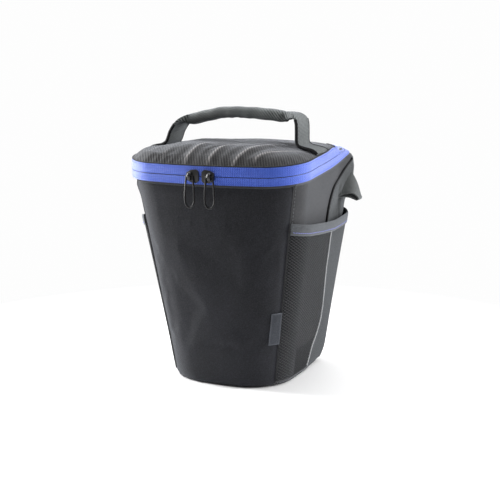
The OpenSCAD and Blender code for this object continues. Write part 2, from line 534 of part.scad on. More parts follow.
// ---- handle ----
// The tabs' rows share the lid's rings, so that they lie flat on it
function tab_column(u, out) = [for (k = [1, CROWN[0], CROWN[1], CROWN[2]]) let (p = lid_crown(u, k, 0))
    [p[0], p[1], p[2] + 0.02 + out]];
module handle_tab_right() color([0.17, 0.18, 0.17])
    sheet([for (u = TAB_U) tab_column(u, tab_t)], [for (u = TAB_U) tab_column(u, 0)]);
module handle_tab_left() on_left() handle_tab_right();
GRIP_LOW = CROWN_Z + grip_gap;
GRIP_ARCH = 3;
FOOT_Z = lid_crown(TAB_U[1], (handle_foot_x - strap_t) / (rim_w / 2), 0)[2] + tab_t + 2 * run_gap;
PIVOT_Z = FOOT_Z + 5.4;
SWING = 20;
module strap_side() {
    x0 = handle_foot_x;
    x1 = grip_half;
    top = GRIP_LOW - GRIP_ARCH + grip_h * 0.5;
    intersection() {
        translate([0, HANDLE_Y, 0]) rotate([90, 0, 0]) linear_extrude(height = strap_w, center = true)
            polygon([[x0 - strap_t, FOOT_Z], [x0, FOOT_Z], [x0 - 1, PIVOT_Z + 4], [x0 - 7, top],
                [x1 + 4, top + strap_t / 2 + 0.6], [x1, top + strap_t / 2], [x1, top - strap_t / 2],
                [x0 - 8 - strap_t, top - 3], [x0 - 1 - strap_t, PIVOT_Z + 4]]);
        // Foot trimmed to a point so that it clears the tab as it swings
        translate([0, HANDLE_Y, 0]) rotate([90, 0, 90]) linear_extrude(height = 2 * handle_foot_x)
            polygon([[-2.4, FOOT_Z], [2.4, FOOT_Z], [strap_w / 2, PIVOT_Z - 0.4], [strap_w / 2, top + 9],
                [-strap_w / 2, top + 9], [-strap_w / 2, PIVOT_Z - 0.4]]);
    }
}
GRIP_RINGS = [-1, -0.94, -0.75, -0.4, 0, 0.4, 0.75, 0.94, 1];
GRIP_SIDES = 14;
function grip_mid(k) = GRIP_LOW + grip_h / 2 - GRIP_ARCH * k * k;
function grip_full(k) = abs(k) > 0.99 ? 0.8 : abs(k) > 0.9 ? 0.94 : 1;
function grip_ring(k, off) = [for (i = [0 : GRIP_SIDES - 1]) let (a = 360 * i / GRIP_SIDES)
    [k * grip_half, HANDLE_Y + (grip_w / 2 * grip_full(k) - off) * sin(a),
        grip_mid(k) + (grip_h / 2 * grip_full(k) - off) * cos(a)]];
module handle_strap() color([0.15, 0.17, 0.16]) {
    strap_side();
    on_left() strap_side();
}
GRIP_SKIN = 1;
module handle_grip() color([0.17, 0.19, 0.18])
    sheet([for (i = [0 : GRIP_SIDES - 1]) [for (k = GRIP_RINGS) grip_ring(k, 0)[i]]],
        [for (i = [0 : GRIP_SIDES - 1]) [for (k = GRIP_RINGS) grip_ring(k, GRIP_SKIN)[i]]], true);
module handle_core() color([0.24, 0.24, 0.25]) stack([for (k = GRIP_RINGS) grip_ring(k, GRIP_SKIN)]);

// ---- sliders and pulls, held on the curve of the front of the zip line ----
BOW_CENTRE = [0, rim_bow_r - rim_front, rim_z(rim_bow_r - rim_front)];
SLIDER_TURN = asin(slider_x / rim_bow_r);
PLATE_T = 1.6;
BRIDGE_R = 2.7;
TUNNEL_R = wire_d / 2 + 0.35;
PLATE_OUT = tape_t + run_gap;
PIVOT_OUT = PLATE_OUT + PLATE_T + TUNNEL_R + 0.25;
BRIDGE_W = 3.4;
FLARE = 0.7;
module at_slider(side) translate(BOW_CENTRE) rotate(a = side * SLIDER_TURN, v = [0, -rim_slope, 1])
    translate(-BOW_CENTRE) translate([0, -rim_front, rim_z(-rim_front)]) children();
module slider_shape(side) {
    difference() {
        union() {
            // Plate: broad nose towards the middle of the front, tapering to the tail
            translate([0, -PLATE_OUT, 0]) rotate([90, 0, 0]) linear_extrude(height = PLATE_T)
                polygon([[-side * slider_len / 2, -slider_h * 0.32], [-side * slider_len * 0.34, -slider_h / 2],
                    [side * slider_len * 0.1, -slider_h * 0.47], [side * slider_len * 0.42, -slider_h * 0.33],
                    [side * slider_len / 2, -slider_h * 0.26], [side * slider_len / 2, slider_h * 0.26],
                    [side * slider_len * 0.42, slider_h * 0.33], [side * slider_len * 0.1, slider_h * 0.47],
                    [-side * slider_len * 0.34, slider_h / 2], [-side * slider_len / 2, slider_h * 0.32]]);
            translate([-BRIDGE_W / 2, -PIVOT_OUT, 0]) rotate([0, 90, 0])
                cylinder(h = BRIDGE_W, r = BRIDGE_R, $fn = 32);
        }
        translate([-BRIDGE_W, -PIVOT_OUT, 0]) rotate([0, 90, 0]) cylinder(h = 2 * BRIDGE_W, r = TUNNEL_R, $fn = 32);
        translate([-slider_len, -PLATE_OUT, -slider_h]) cube([2 * slider_len, 10, 2 * slider_h]);
        // Flare towards the lid's half of the tape, which swings out as the lid opens
        translate([-slider_len, -PLATE_OUT, 0]) rotate([90, 0, 90]) linear_extrude(height = 2 * slider_len)
            polygon([[0.1, 0], [0.1, slider_h], [-FLARE * 2, slider_h], [-FLARE, slider_h / 2], [0, 0.3]]);
    }
}
module slider_right() color([0.04, 0.04, 0.05]) at_slider(1) slider_shape(1);
module slider_left() color([0.04, 0.04, 0.05]) at_slider(-1) slider_shape(-1);
// Wire loop: across the tunnel, legs that spread, and a pointed end
PULL_NECK = 2.9;
PULL_HALF = [[PULL_NECK - 0.6, 0], [PULL_NECK, -0.6], [pull_w / 2 - 0.1, -pull_len * 0.68],
    [pull_w / 2, -pull_len * 0.73], [pull_w / 2 - 0.3, -pull_len * 0.78], [pull_w * 0.2, -pull_len * 0.95],
    [pull_w * 0.08, -pull_len]];
PULL = concat(PULL_HALF, [for (p = backwards(PULL_HALF)) [-p[0], p[1]]]);
module pull_shape() translate([0, -PIVOT_OUT, 0])
    hoop([for (p = PULL) [p[0], 0, p[1]]], wire_d / 2, 8, [0, 1, 0]);
module zip_pull_right() color([0.32, 0.33, 0.36]) at_slider(1) pull_shape();
module zip_pull_left() color([0.32, 0.33, 0.36]) at_slider(-1) pull_shape();

front_panel();
side_panel_left();
side_panel_right();
back_panel();
base_panel();
foam_front();
foam_left();
foam_right();
foam_back();
foam_base();
lining();
rear_wing_left();
rear_wing_right();
piping_left();
piping_right();
pocket_mesh_left();
pocket_mesh_right();
pocket_gusset_left();
pocket_gusset_right();
pocket_binding_left();
pocket_binding_right();
strap_ear_left();
strap_ear_right();
belt_loop();
label_tab();
zip_tape_lower();
zip_teeth_lower();
hinge_strip_lower();
lid_top();
lid_foam();
lid_lining();
zip_tape_upper();
zip_teeth_upper();
hinge_strip_upper();
handle_tab_left();
handle_tab_right();
handle_strap();
handle_grip();
handle_core();
slider_left();
slider_right();
zip_pull_left();
zip_pull_right();
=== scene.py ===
"""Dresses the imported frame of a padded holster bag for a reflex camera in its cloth, zip, webbing and thread.

Sizes in the classes are millimetres in the frame's axes: +Z up, the bag's front towards -Y, origin on the floor
under the middle of the tub. Meshes are made in metres.
"""

import logging
import math
from dataclasses import dataclass
from enum import Enum
from typing import Any, Callable, Iterable, Optional, Sequence

import bpy
from mathutils import Matrix, Vector


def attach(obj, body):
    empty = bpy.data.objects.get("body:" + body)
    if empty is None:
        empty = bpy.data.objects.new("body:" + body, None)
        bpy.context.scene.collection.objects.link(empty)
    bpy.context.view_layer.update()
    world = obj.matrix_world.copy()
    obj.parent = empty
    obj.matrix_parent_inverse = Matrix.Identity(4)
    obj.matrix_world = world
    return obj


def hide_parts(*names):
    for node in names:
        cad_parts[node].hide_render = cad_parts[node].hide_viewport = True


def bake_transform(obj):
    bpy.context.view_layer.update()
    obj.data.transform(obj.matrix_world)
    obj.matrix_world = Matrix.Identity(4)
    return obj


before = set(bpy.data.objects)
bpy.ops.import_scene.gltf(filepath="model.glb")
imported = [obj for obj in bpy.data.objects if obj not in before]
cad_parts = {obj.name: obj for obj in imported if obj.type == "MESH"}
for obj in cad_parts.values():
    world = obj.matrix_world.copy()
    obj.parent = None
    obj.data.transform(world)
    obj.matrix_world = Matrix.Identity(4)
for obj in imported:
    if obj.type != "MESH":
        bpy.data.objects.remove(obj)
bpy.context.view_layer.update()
LOG = logging.getLogger("holster_bag")
MM = 0.001
WEAVE_MAP = "weave"
# Attribute of how worn the borders are; on the lid's cover it holds the painted highlight on the fold crests.
WEAR = "wear_and_highlight"
SETTLE_QUALITY = 6
CLOTH_MASS = 0.4
STRETCH_STIFFNESS = 25
SHEAR_STIFFNESS = 12
BEND_STIFFNESS = 3

Colour = tuple[float, float, float]
Table = Sequence[tuple[float, float]]
Place = Callable[[float, float], Vector]
Mesh = bpy.types.Object


# ---------------------------------------------------------------- numbers
def lerp(a: float, b: float, k: float) -> float:
    """Value k of the way from a to b."""
    return a + (b - a) * k


def clamp01(k: float) -> float:
    """k held between 0 and 1."""
    return min(1.0, max(0.0, k))


def smooth(k: float) -> float:
    """Smooth step from 0 to 1."""
    c = clamp01(k)
    return c * c * (3 - 2 * c)


def hump(x: float, width: float) -> float:
    """Rounded bump of height 1 at x = 0, gone a few widths away."""
    return math.exp(-((x / width) ** 2))


def lookup(x: float, table: Table) -> float:
    """Straight-line reading of a table of (x, value) pairs.

    Args:
        x: Where to read.
        table: Pairs in rising order of x.

    Returns:
        The value there, held at the table's ends.
    """
    if x <= table[0][0]:
        return table[0][1]
    for (x0, y0), (x1, y1) in zip(table, table[1:]):
        if x <= x1:
            return lerp(y0, y1, (x - x0) / (x1 - x0))
    return table[-1][1]


def steps(a: float, b: float, n: int) -> list[float]:
    """n + 1 even values from a to b."""
    return [lerp(a, b, i / n) for i in range(n + 1)]


def srgb(r: float, g: float, b: float) -> Colour:
    """Linear colour of a screen colour given from 0 to 255."""
    def channel(c: float) -> float:
        """Linear value of one channel."""
        c /= 255
        return c / 12.92 if c <= 0.04045 else ((c + 0.055) / 1.055) ** 2.4
    return channel(r), channel(g), channel(b)


def rounded_path(points: Sequence[Sequence[float]], per_span: int, closed: bool = False) -> list[Vector]:
    """Smooth curve through points.

    Args:
        points: Points that the curve passes.
        per_span: Points made for each span.
        closed: Whether the last point joins the first.

    Returns:
        The curve's points, without a repeat of the first where it is closed.
    """
    p = [Vector(q) for q in points]
    n = len(p)
    out: list[Vector] = []
    for i in range(n if closed else n - 1):
        a = p[(i - 1) % n] if closed or i > 0 else 2 * p[0] - p[1]
        b, c = p[i], p[(i + 1) % n]
        d = p[(i + 2) % n] if closed or i + 2 < n else 2 * p[-1] - p[-2]
        for j in range(per_span):
            t = j / per_span
            out.append(0.5 * ((2 * b) + (c - a) * t + (2 * a - 5 * b + 4 * c - d) * t * t
                              + (3 * b - a - 3 * c + d) * t ** 3))
    if not closed:
        out.append(p[-1].copy())
    return out


# ---------------------------------------------------------------- the bag's shape
@dataclass(frozen=True)
class BagShape:
    """Outline of the tub, zip line and lid, as functions of a station u round the bag and a height share t.

    Stations: 0 middle of the front, 1 to 2 front corner, 2 to 3 side, 3 to 4 rear corner, 5 middle of the back;
    negative stations lie on the left.
    """

    rim_h: float = 207.0
    slope: float = 0.125
    rim_w: float = 174.0
    rim_front: float = 88.5
    rim_back: float = 63.0
    rim_bow: float = 450.0
    rim_corner: float = 36.0
    rim_rear: float = 34.0
    base_w: float = 116.0
    base_front: float = 62.0
    base_bow: float = 204.0
    base_corner: float = 42.0
    back_y: float = 70.0
    back_corner: float = 15.0
    ledge: float = 3.0
    rear_tuck: float = 8.0
    base_tuck: float = 3.0
    tape_w: float = 9.0
    tape_t: float = 0.9
    tape_gap: float = 0.6
    tooth_slot: float = 1.8
    rear_lean: float = 75.0
    rear_lift: float = 4.5
    lid_rise: float = 14.0
    skin: float = 1.2
    inside: float = 8.0
    seam_u: float = 1.6
    back_seam_u: float = 3.5
    zip_end_u: float = 3.75
    swell: float = 4.8

    @property
    def t_skin(self) -> float:
        """Height share of the top of the base fabric."""
        return self.skin / self.rim_h

    @property
    def t_ledge_low(self) -> float:
        """Height share where the wall starts to step out."""
        return 1 - (self.tape_w + 2.4) / self.rim_h

    @property
    def t_ledge_top(self) -> float:
        """Height share of the tape's lower edge."""
        return 1 - (self.tape_w - 1) / self.rim_h

    @property
    def t_wall_top(self) -> float:
        """Height share of the top of the padded wall."""
        return 1 - self.tooth_slot / (self.rim_h - 2 * self.slope * self.rim_front)

    @property
    def t_tape_top(self) -> float:
        """Height share of the lower tape's upper edge."""
        return 1 - self.tape_gap / 2 / self.rim_h

    @property
    def crown_z(self) -> float:
        """Height of the crown of the lid."""
        return self.rim_h + self.lid_rise

    def share(self, z: float) -> float:
        """Height share of height z."""
        return z / self.rim_h

    @staticmethod
    def tuck(t: float, depth: float, end: float) -> float:
        """How far a rounded lower edge is drawn in at t."""
        return 0.0 if t >= end else depth * (1 - math.sqrt(1 - (1 - t / end) ** 2))

    def half_w(self, t: float) -> float:
        """Half width at t."""
        return lookup(t, ((0, self.base_w / 2), (self.t_ledge_low, self.rim_w / 2 - self.ledge),
                          (self.t_ledge_top, self.rim_w / 2), (1, self.rim_w / 2)))

    def front_y(self, t: float) -> float:
        """Depth of the front at t."""
        return lookup(t, ((0, -self.base_front), (self.t_ledge_low, self.ledge - self.rim_front),
                          (self.t_ledge_top, -self.rim_front), (1, -self.rim_front)))

    def rear_y(self, t: float) -> float:
        """Depth of the back at t."""
        return lookup(t, ((0, self.back_y), (0.9, self.back_y),
                          (self.t_ledge_top, lerp(self.back_y, self.rim_back, 0.3)),
                          (1, self.rim_back))) - self.tuck(t, self.rear_tuck, 0.15)

    def rear_r(self, t: float) -> float:
        """Radius of the rear corners at t."""
        return lookup(t, ((0, self.back_corner), (0.9, self.back_corner),
                          (self.t_ledge_top, lerp(self.back_corner, self.rim_rear, 0.4)), (1, self.rim_rear)))

    def bow_r(self, t: float) -> float:
        """Radius of the bow across the front at t."""
        return lerp(self.base_bow, self.rim_bow, t)

    def corner_r(self, t: float) -> float:
        """Radius of the front corners at t."""
        return lerp(self.base_corner, self.rim_corner, t)

    def plan(self, u: float, t: float, off: float) -> tuple[float, float]:
        """Plan position on the outline.

        Args:
            u: Station.
            t: Height share.
            off: How far the outline is drawn in.

        Returns:
            x and y.
        """
        o = off + self.tuck(t, self.base_tuck, 0.03)
        w, yf, yb = self.half_w(t) - o, self.front_y(t) + o, self.rear_y(t) - o
        r, rc, rb = self.bow_r(t) - o, self.corner_r(t) - o, self.rear_r(t) - o
        cx = w - rc
        cy = yf + r - math.sqrt((r - rc) ** 2 - cx * cx)
        turn = math.atan2(cx, yf + r - cy)
        v = abs(u)
        if v <= 1:
            x, y = r * math.sin(turn * v), yf + r - r * math.cos(turn * v)
        elif v <= 2:
            a = lerp(turn, math.pi / 2, v - 1)
            x, y = cx + rc * math.sin(a), cy - rc * math.cos(a)
        elif v <= 3:
            x, y = w, lerp(cy, yb - rb, v - 2)
        elif v <= 4:
            a = math.pi / 2 * (v - 3)
            x, y = w - rb + rb * math.cos(a), yb - rb + rb * math.sin(a)
        else:
            x, y = lerp(w - rb, 0, v - 4), yb
        return (-x if u < 0 else x), y

    def rearness(self, u: float) -> float:
        """0 along the front and sides, 1 at the rear corners and back."""
        return smooth((abs(u) - 2.45) / 0.8)

    def wall(self, u: float, t: float, off: float) -> Vector:
        """Point of the tub's wall, drawn in by off."""
        x, y = self.plan(u, t, off)
        lift = self.rear_lift * self.rearness(u) * lookup(
            t, ((0, 0), (0.75, 0), (self.t_ledge_low, 1), (self.t_ledge_top, 1), (1, 0)))
        return Vector((x, y, self.rim_h * t + self.slope * y * t * t + lift))

    def puff(self, u: float, t: float) -> float:
        """How far the padding swells the rear corners below the zip; they are drawn in at the base."""
        v = abs(u)
        high = smooth((t - 0.75) / 0.1) * (1 - smooth((t - self.t_ledge_low) / (self.t_ledge_top - self.t_ledge_low)))
        corner = smooth((v - 2.75) / 0.35) * (1 - smooth((v - 3.7) / 0.8))
        left_front = 2.6 * hump(v - 1.78, 0.2) * hump(t * self.rim_h - 188, 6) if u < 0 else 0.0
        return self.swell * high * corner + left_front \
            - 3.5 * smooth((v - 2.4) / 0.6) * max(0.0, 1 - t / 0.09) ** 2

    def skin_point(self, u: float, t: float, out: float) -> Vector:
        """Point at a distance from the swollen outer cloth."""
        return self.wall(u, t, -out - self.puff(u, t))

    def rim_z(self, y: float) -> float:
        """Height of the zip line at depth y."""
        return self.rim_h + self.slope * y

    def side_u(self, t: float, y: float) -> float:
        """Station of depth y on the straight side."""
        w, rc, r = self.half_w(t), self.corner_r(t), self.bow_r(t)
        start = self.front_y(t) + r - math.sqrt((r - rc) ** 2 - (w - rc) ** 2)
        return 2 + (y - start) / (self.rear_y(t) - self.rear_r(t) - start)

    def lean(self, u: float) -> float:
        """Lean of the zip band in radians."""
        return math.radians(self.rear_lean * self.rearness(u))

    def band(self, u: float, t: float, out: float) -> Vector:
        """Point of the lower half of the zip band, out from the wall."""
        q = self.lean(u)
        p = self.wall(u, t, -out * math.cos(q))
        return Vector((p.x, p.y, p.z + out * math.sin(q)))

    def thin(self, u: float) -> float:
        """How the lid's layers thin towards its hinge."""
        return lerp(1, 0.3, self.rearness(u))

    def edge_low(self, u: float) -> float:
        """Height of the lid's edge above the zip line."""
        return lerp(self.tooth_slot, 0.4, smooth((abs(u) - 3.1) / 0.4))

    def lid_edge(self, u: float, d: float) -> Vector:
        """Lower edge of the lid, at depth d in its layers."""
        x, y = self.plan(u, 1, d * self.thin(u))
        return Vector((x, y, self.rim_z(self.plan(u, 1, 0)[1]) + self.edge_low(u)))

    def edge_sink(self, u: float) -> float:
        """How far the lid's hidden edge is lowered where the band leans back over it."""
        return self.rearness(u) * (self.edge_low(u) - 0.2)

    def lid_shoulder(self, u: float, d: float) -> Vector:
        """Where the zip band ends and the lid's crown starts."""
        q, n = self.lean(u), d * self.thin(u)
        x, y = self.plan(u, 1, self.tape_w * math.sin(q) + n)
        return Vector((x, y, self.rim_z(self.plan(u, 1, 0)[1]) + self.tape_w * math.cos(q) - n))

    def lid_crown(self, u: float, k: float, d: float) -> Vector:
        """Point of the lid's crown, k = 1 at the shoulder and 0 on the ridge."""
        e, top = self.lid_shoulder(u, d), self.lid_shoulder(u, 0).z
        y0 = min(15.0, max(-45.0, e.y))
        full = clamp01((1 - k) / 0.12)
        return Vector((e.x * k, y0 + (e.y - y0) * k,
                       top + (self.crown_z - top) * (1 - k ** 4) - d * lerp(self.thin(u), 1, full)))

    def upper_band(self, u: float, v: float, out: float) -> Vector:
        """Point of the upper half of the zip band, v = 0 at the zip line and 1 at the shoulder."""
        s, q = self.lid_shoulder(u, 0), self.lean(u)
        x, y = self.plan(u, 1, 0)
        low = Vector((x, y, self.rim_z(y)))
        k = lerp(self.tape_gap / 2 / self.tape_w, 1, v)
        if self.edge_low(u) <= self.tape_gap:
            e = self.lid_edge(u, 0)
            p = e.lerp(s, v)
        else:
            p = low.lerp(s, k)
        x1, y1 = self.plan(u, 1, -1)
        c = out * math.cos(q)
        return Vector((p.x + (x1 - x) * c, p.y + (y1 - y) * c, p.z + out * math.sin(q)))


SHAPE = BagShape()


# ---------------------------------------------------------------- making meshes
def select_only(piece: Mesh) -> None:
    """Makes one object the only selected and active one."""
    bpy.ops.object.select_all(action="DESELECT")
    piece.select_set(True)
    bpy.context.view_layer.objects.active = piece


def apply_modifier(piece: Mesh, kind: str, **settings: Any) -> None:
    """Adds a modifier with settings and applies it.

    Args:
        piece: Object it works on.
        kind: Blender's name of the modifier type.
        **settings: Properties of the modifier.
    """
    select_only(piece)
    modifier = piece.modifiers.new(kind.lower(), kind)
    for key, value in settings.items():
        setattr(modifier, key, value)
    bpy.ops.object.modifier_apply(modifier=modifier.name)


def soft_shade(piece: Mesh, degrees: float = 40.0) -> None:
    """Smooth shading with edges kept above an angle."""
    select_only(piece)
    bpy.ops.object.shade_smooth_by_angle(angle=math.radians(degrees))


def lay_uv(piece: Mesh, spots: Sequence[tuple[float, float]]) -> None:
    """Gives each vertex its place in the cloth, in metres, as the piece's weave map."""
    mesh = piece.data
    while mesh.uv_layers:
        mesh.uv_layers.remove(mesh.uv_layers[0])
    layer = mesh.uv_layers.new(name=WEAVE_MAP)
    for loop in mesh.loops:
        layer.data[loop.index].uv = spots[loop.vertex_index]


def lay_wear_and_highlight(piece: Mesh, values: Sequence[float]) -> None:
    """Stores how worn each vertex is; the lid's cover stores its painted highlight on the fold crests here instead."""
    attribute = piece.data.attributes.get(WEAR) or piece.data.attributes.new(WEAR, "FLOAT", "POINT")
    attribute.data.foreach_set("value", values)


def cloth(name: str, across: Sequence[float], up: Sequence[float], place: Place, thick: float = 0.0,
          wrap: bool = False, cap: bool = False, edge: float = 4.0, degrees: float = 40.0) -> Mesh:
    """A surface made from a primitive grid whose columns and rows are laid onto a shape.

    Args:
        name: Name of the piece.
        across: Parameter of each column.
        up: Parameter of each row.
        place: Point in millimetres for a column and a row parameter; columns by rows point outwards.
        thick: Thickness added behind the surface, in millimetres.
        wrap: Whether the last column meets the first.
        cap: Whether the open ends of a wrapped tube are closed.
        edge: Width of the worn border, in millimetres.
        degrees: Angle above which an edge stays sharp.

    Returns:
        The piece, with its weave map in metres and its wear.
    """
    bpy.ops.object.select_all(action="DESELECT")
    nx, ny = len(across) - 1, len(up) - 1
    bpy.ops.mesh.primitive_grid_add(x_subdivisions=nx, y_subdivisions=ny, size=2)
    piece = bpy.context.active_object
    piece.name = piece.data.name = name
    grid = [[place(a, b) for b in up] for a in across]
    im, jm = nx // 2, ny // 2
    us, vs = [0.0], [0.0]
    for i in range(nx):
        us.append(us[-1] + (grid[i + 1][jm] - grid[i][jm]).length)
    for j in range(ny):
        vs.append(vs[-1] + (grid[im][j + 1] - grid[im][j]).length)
    spots, wear_and_highlight = [], []
    for vertex in piece.data.vertices:
        i, j = round((vertex.co.x + 1) / 2 * nx), round((vertex.co.y + 1) / 2 * ny)
        vertex.co = grid[i][j] * MM
        spots.append((us[i] * MM, vs[j] * MM))
        border = [vs[j], vs[-1] - vs[j]] + ([] if wrap else [us[i], us[-1] - us[i]])
        wear_and_highlight.append(hump(min(border), edge))
    lay_uv(piece, spots)
    lay_wear_and_highlight(piece, wear_and_highlight)
    if wrap:
        select_only(piece)
        bpy.ops.object.mode_set(mode="EDIT")
        bpy.ops.mesh.select_all(action="SELECT")
        bpy.ops.mesh.remove_doubles(threshold=1e-6)
        if cap:
            bpy.ops.mesh.select_all(action="DESELECT")
            bpy.ops.mesh.select_mode(type="EDGE")
            bpy.ops.mesh.select_non_manifold(extend=False)
            bpy.ops.mesh.fill_holes(sides=0)
            bpy.ops.mesh.select_mode(type="VERT")
        bpy.ops.object.mode_set(mode="OBJECT")
    if thick:
        apply_modifier(piece, "SOLIDIFY", thickness=thick * MM, offset=-1.0, use_even_offset=True)
    soft_shade(piece, degrees)
    return piece


def tube(name: str, path: Sequence[Vector], half: Callable[[float], tuple[float, float]], sides: int,
         side_way: Sequence[float], closed: bool = False, square: float = 2.0,
         relief: Optional[Callable[[float, float], float]] = None) -> Mesh:
    """A cord, strap or roll swept along a path.

    Args:
        name: Name of the piece.
        path: Points of its middle line, in millimetres.
        half: Half width along side_way and half thickness for a share of the path.
        sides: Number of faces round it.
        side_way: Direction of the width, never along the path.
        closed: Whether the path is a loop.
        square: Exponent of the section, 2 for an oval and more for a flat strap.
        relief: Extra thickness for a share of the path and an angle in turns.

    Returns:
        The swept piece.
    """
    n = len(path)
    wide = Vector(side_way).normalized()

    def place(s: float, a: float) -> Vector:
        """Point for a step of the path and a turn share."""
        i = int(round(s)) % n
        before = path[(i - 1) % n] if closed or i > 0 else path[0] * 2 - path[1]
        after = path[(i + 1) % n] if closed or i < n - 1 else path[-1] * 2 - path[-2]
        way = (after - before).normalized()
        flat = (wide - way * wide.dot(way)).normalized()
        thick = way.cross(flat)
        share = i / (n if closed else n - 1)
        w, h = half(share)
        c, q = math.cos(2 * math.pi * a), math.sin(2 * math.pi * a)
        extra = relief(share, a) if relief else 0.0
        x = math.copysign(abs(c) ** (2 / square), c) * (w + extra)
        y = math.copysign(abs(q) ** (2 / square), q) * (h + extra)
        return path[i] + flat * x + thick * y

    columns = [float(i) for i in range(n + 1 if closed else n)]
    return cloth(name, columns, steps(1.0, 0.0, sides), place, wrap=True, cap=not closed, degrees=50)


def join_lattice(name: str, columns: int, rows: int, place: Place, strand: float) -> Mesh:
    """A knotless net of crossing diagonal strands laid onto a shape.

    Args:
        name: Name of the piece.
        columns: Number of cells across.
        rows: Number of cells up.
        place: Point in millimetres for two shares from 0 to 1.
        strand: Thickness of a strand in millimetres.

    Returns:
        The net.
    """
    bpy.ops.object.select_all(action="DESELECT")
    bpy.ops.mesh.primitive_grid_add(x_subdivisions=columns, y_subdivisions=rows, size=2)
    net = bpy.context.active_object
    net.name = net.data.name = name
    old = len(net.data.vertices)
    bpy.ops.object.mode_set(mode="EDIT")
    bpy.ops.mesh.select_all(action="SELECT")
    bpy.ops.mesh.poke()
    bpy.ops.mesh.select_all(action="DESELECT")
    bpy.ops.object.mode_set(mode="OBJECT")
    mesh = net.data
    faces_at: dict[tuple[int, int], int] = {}
    for polygon in mesh.polygons:
        for key in polygon.edge_keys:
            faces_at[key] = faces_at.get(key, 0) + 1
    select_only(net)
    bpy.ops.object.mode_set(mode="EDIT")
    bpy.ops.mesh.select_mode(type="EDGE")
    bpy.ops.object.mode_set(mode="OBJECT")
    for edge in mesh.edges:
        a, b = sorted(edge.vertices)
        edge.select = b < old and faces_at[a, b] > 1
    bpy.ops.object.mode_set(mode="EDIT")
    bpy.ops.mesh.dissolve_edges(use_verts=False)
    bpy.ops.mesh.select_mode(type="VERT")
    bpy.ops.object.mode_set(mode="OBJECT")
    for vertex in net.data.vertices:
        vertex.co = place((vertex.co.x + 1) / 2, (vertex.co.y + 1) / 2) * MM
    apply_modifier(net, "WIREFRAME", thickness=strand * MM, use_even_offset=False, use_boundary=True)
    soft_shade(net, 60)
    return net


def sew(name: str, line: Callable[[float, float], Vector], pitch: float, long: float, thick: float,
        zigzag: float = 0.0) -> Mesh:
    """A row of stitches: one stitch is modelled and copied along a line.

    Args:
        name: Name of the row.
        line: Point for a share of the line and a height above the cloth.
        pitch: Distance from stitch to stitch.
        long: Length of a stitch.
        thick: Thickness of the thread.
        zigzag: Turn of every other stitch in the cloth, in degrees.

    Returns:
        The row as one mesh.
    """
    bpy.ops.object.select_all(action="DESELECT")
    bpy.ops.mesh.primitive_uv_sphere_add(segments=6, ring_count=4, radius=1)
    first = bpy.context.active_object
    stitch = [v.co.copy() for v in first.data.vertices]
    faces = [tuple(p.vertices) for p in first.data.polygons]
    bpy.data.objects.remove(first)
    marks = [line(s, 0) for s in steps(0, 1, 400)]
    run = [0.0]
    for a, b in zip(marks, marks[1:]):
        run.append(run[-1] + (b - a).length)
    count = max(2, int(run[-1] / pitch))
    verts, polys, j = [], [], 0
    for i in range(count):
        goal = (i + 0.5) * run[-1] / count
        while run[j + 1] < goal:
            j += 1
        s = (j + (goal - run[j]) / (run[j + 1] - run[j])) / 400
        at, up = line(s, thick * 0.15), (line(s, 1) - line(s, 0)).normalized()
        way = (line(min(1, s + 0.002), 0) - line(max(0, s - 0.002), 0)).normalized()
        if zigzag:
            way = Matrix.Rotation(math.radians(zigzag if i % 2 else -zigzag), 3, up) @ way
        across = up.cross(way).normalized()
        base = len(verts)
        for v in stitch:
            sag = -0.35 * thick * v.z * v.z
            verts.append((at + way * (v.z * long / 2) + across * (v.x * thick / 2)
                          + up * (v.y * thick / 2 + sag)) * MM)
        polys += [tuple(base + k for k in f) for f in faces]
    mesh = bpy.data.meshes.new(name)
    mesh.from_pydata(verts, [], polys)
    mesh.validate()
    piece = bpy.data.objects.new(name, mesh)
    bpy.context.collection.objects.link(piece)
    soft_shade(piece, 80)
    return piece


@dataclass
class SettlingJob:
    """A piece of padded cloth that is to swell and settle.

    Attributes:
        piece: The cloth, before it gets its thickness.
        held: How firmly a point, in millimetres, is sewn down, from 0 to 1.
        pressure: Outward push of the padding.
        spare: Share of extra cloth.
        cap: How far a point may move, in millimetres.
    """

    piece: Mesh
    held: Callable[[Vector], float]
    pressure: float
    spare: float
    cap: float


def settle(jobs: Iterable[SettlingJob], last_frame: int = 20) -> None:
    """Lets padded cloth swell by cloth simulation and keeps the result in the meshes.

    Args:
        jobs: The pieces and how each is held.
        last_frame: Last frame of the simulation.
    """
    jobs = list(jobs)
    rest = {}
    for job in jobs:
        mesh = job.piece.data
        rest[job.piece.name] = [v.co.copy() for v in mesh.vertices]
        group = job.piece.vertex_groups.new(name="sewn")
        for v in mesh.vertices:
            group.add([v.index], job.held(v.co / MM), "REPLACE")
        modifier = job.piece.modifiers.new("settling", "CLOTH")
        cloth_settings = modifier.settings
        cloth_settings.vertex_group_mass = group.name
        cloth_settings.quality = SETTLE_QUALITY
        cloth_settings.mass = CLOTH_MASS
        cloth_settings.tension_stiffness = cloth_settings.compression_stiffness = STRETCH_STIFFNESS
        cloth_settings.shear_stiffness = SHEAR_STIFFNESS
        cloth_settings.bending_stiffness = BEND_STIFFNESS
        cloth_settings.use_pressure = True
        cloth_settings.uniform_pressure_force = job.pressure
        cloth_settings.shrink_min = -job.spare
        cloth_settings.effector_weights.gravity = 0
        modifier.collision_settings.use_collision = False
        modifier.collision_settings.use_self_collision = False
        modifier.point_cache.frame_start, modifier.point_cache.frame_end = 1, last_frame
    scene = bpy.context.scene
    for number in range(1, last_frame + 1):
        scene.frame_set(number)
    graph = bpy.context.evaluated_depsgraph_get()
    for job in jobs:
        shaped = job.piece.evaluated_get(graph).data
        moved = [v.co.copy() for v in shaped.vertices]
        for v, home, new in zip(job.piece.data.vertices, rest[job.piece.name], moved):
            step = new - home
            if step.length > job.cap * MM:
                step *= job.cap * MM / step.length
            v.co = home + step
        job.piece.modifiers.clear()
        job.piece.vertex_groups.clear()
    scene.frame_set(1)


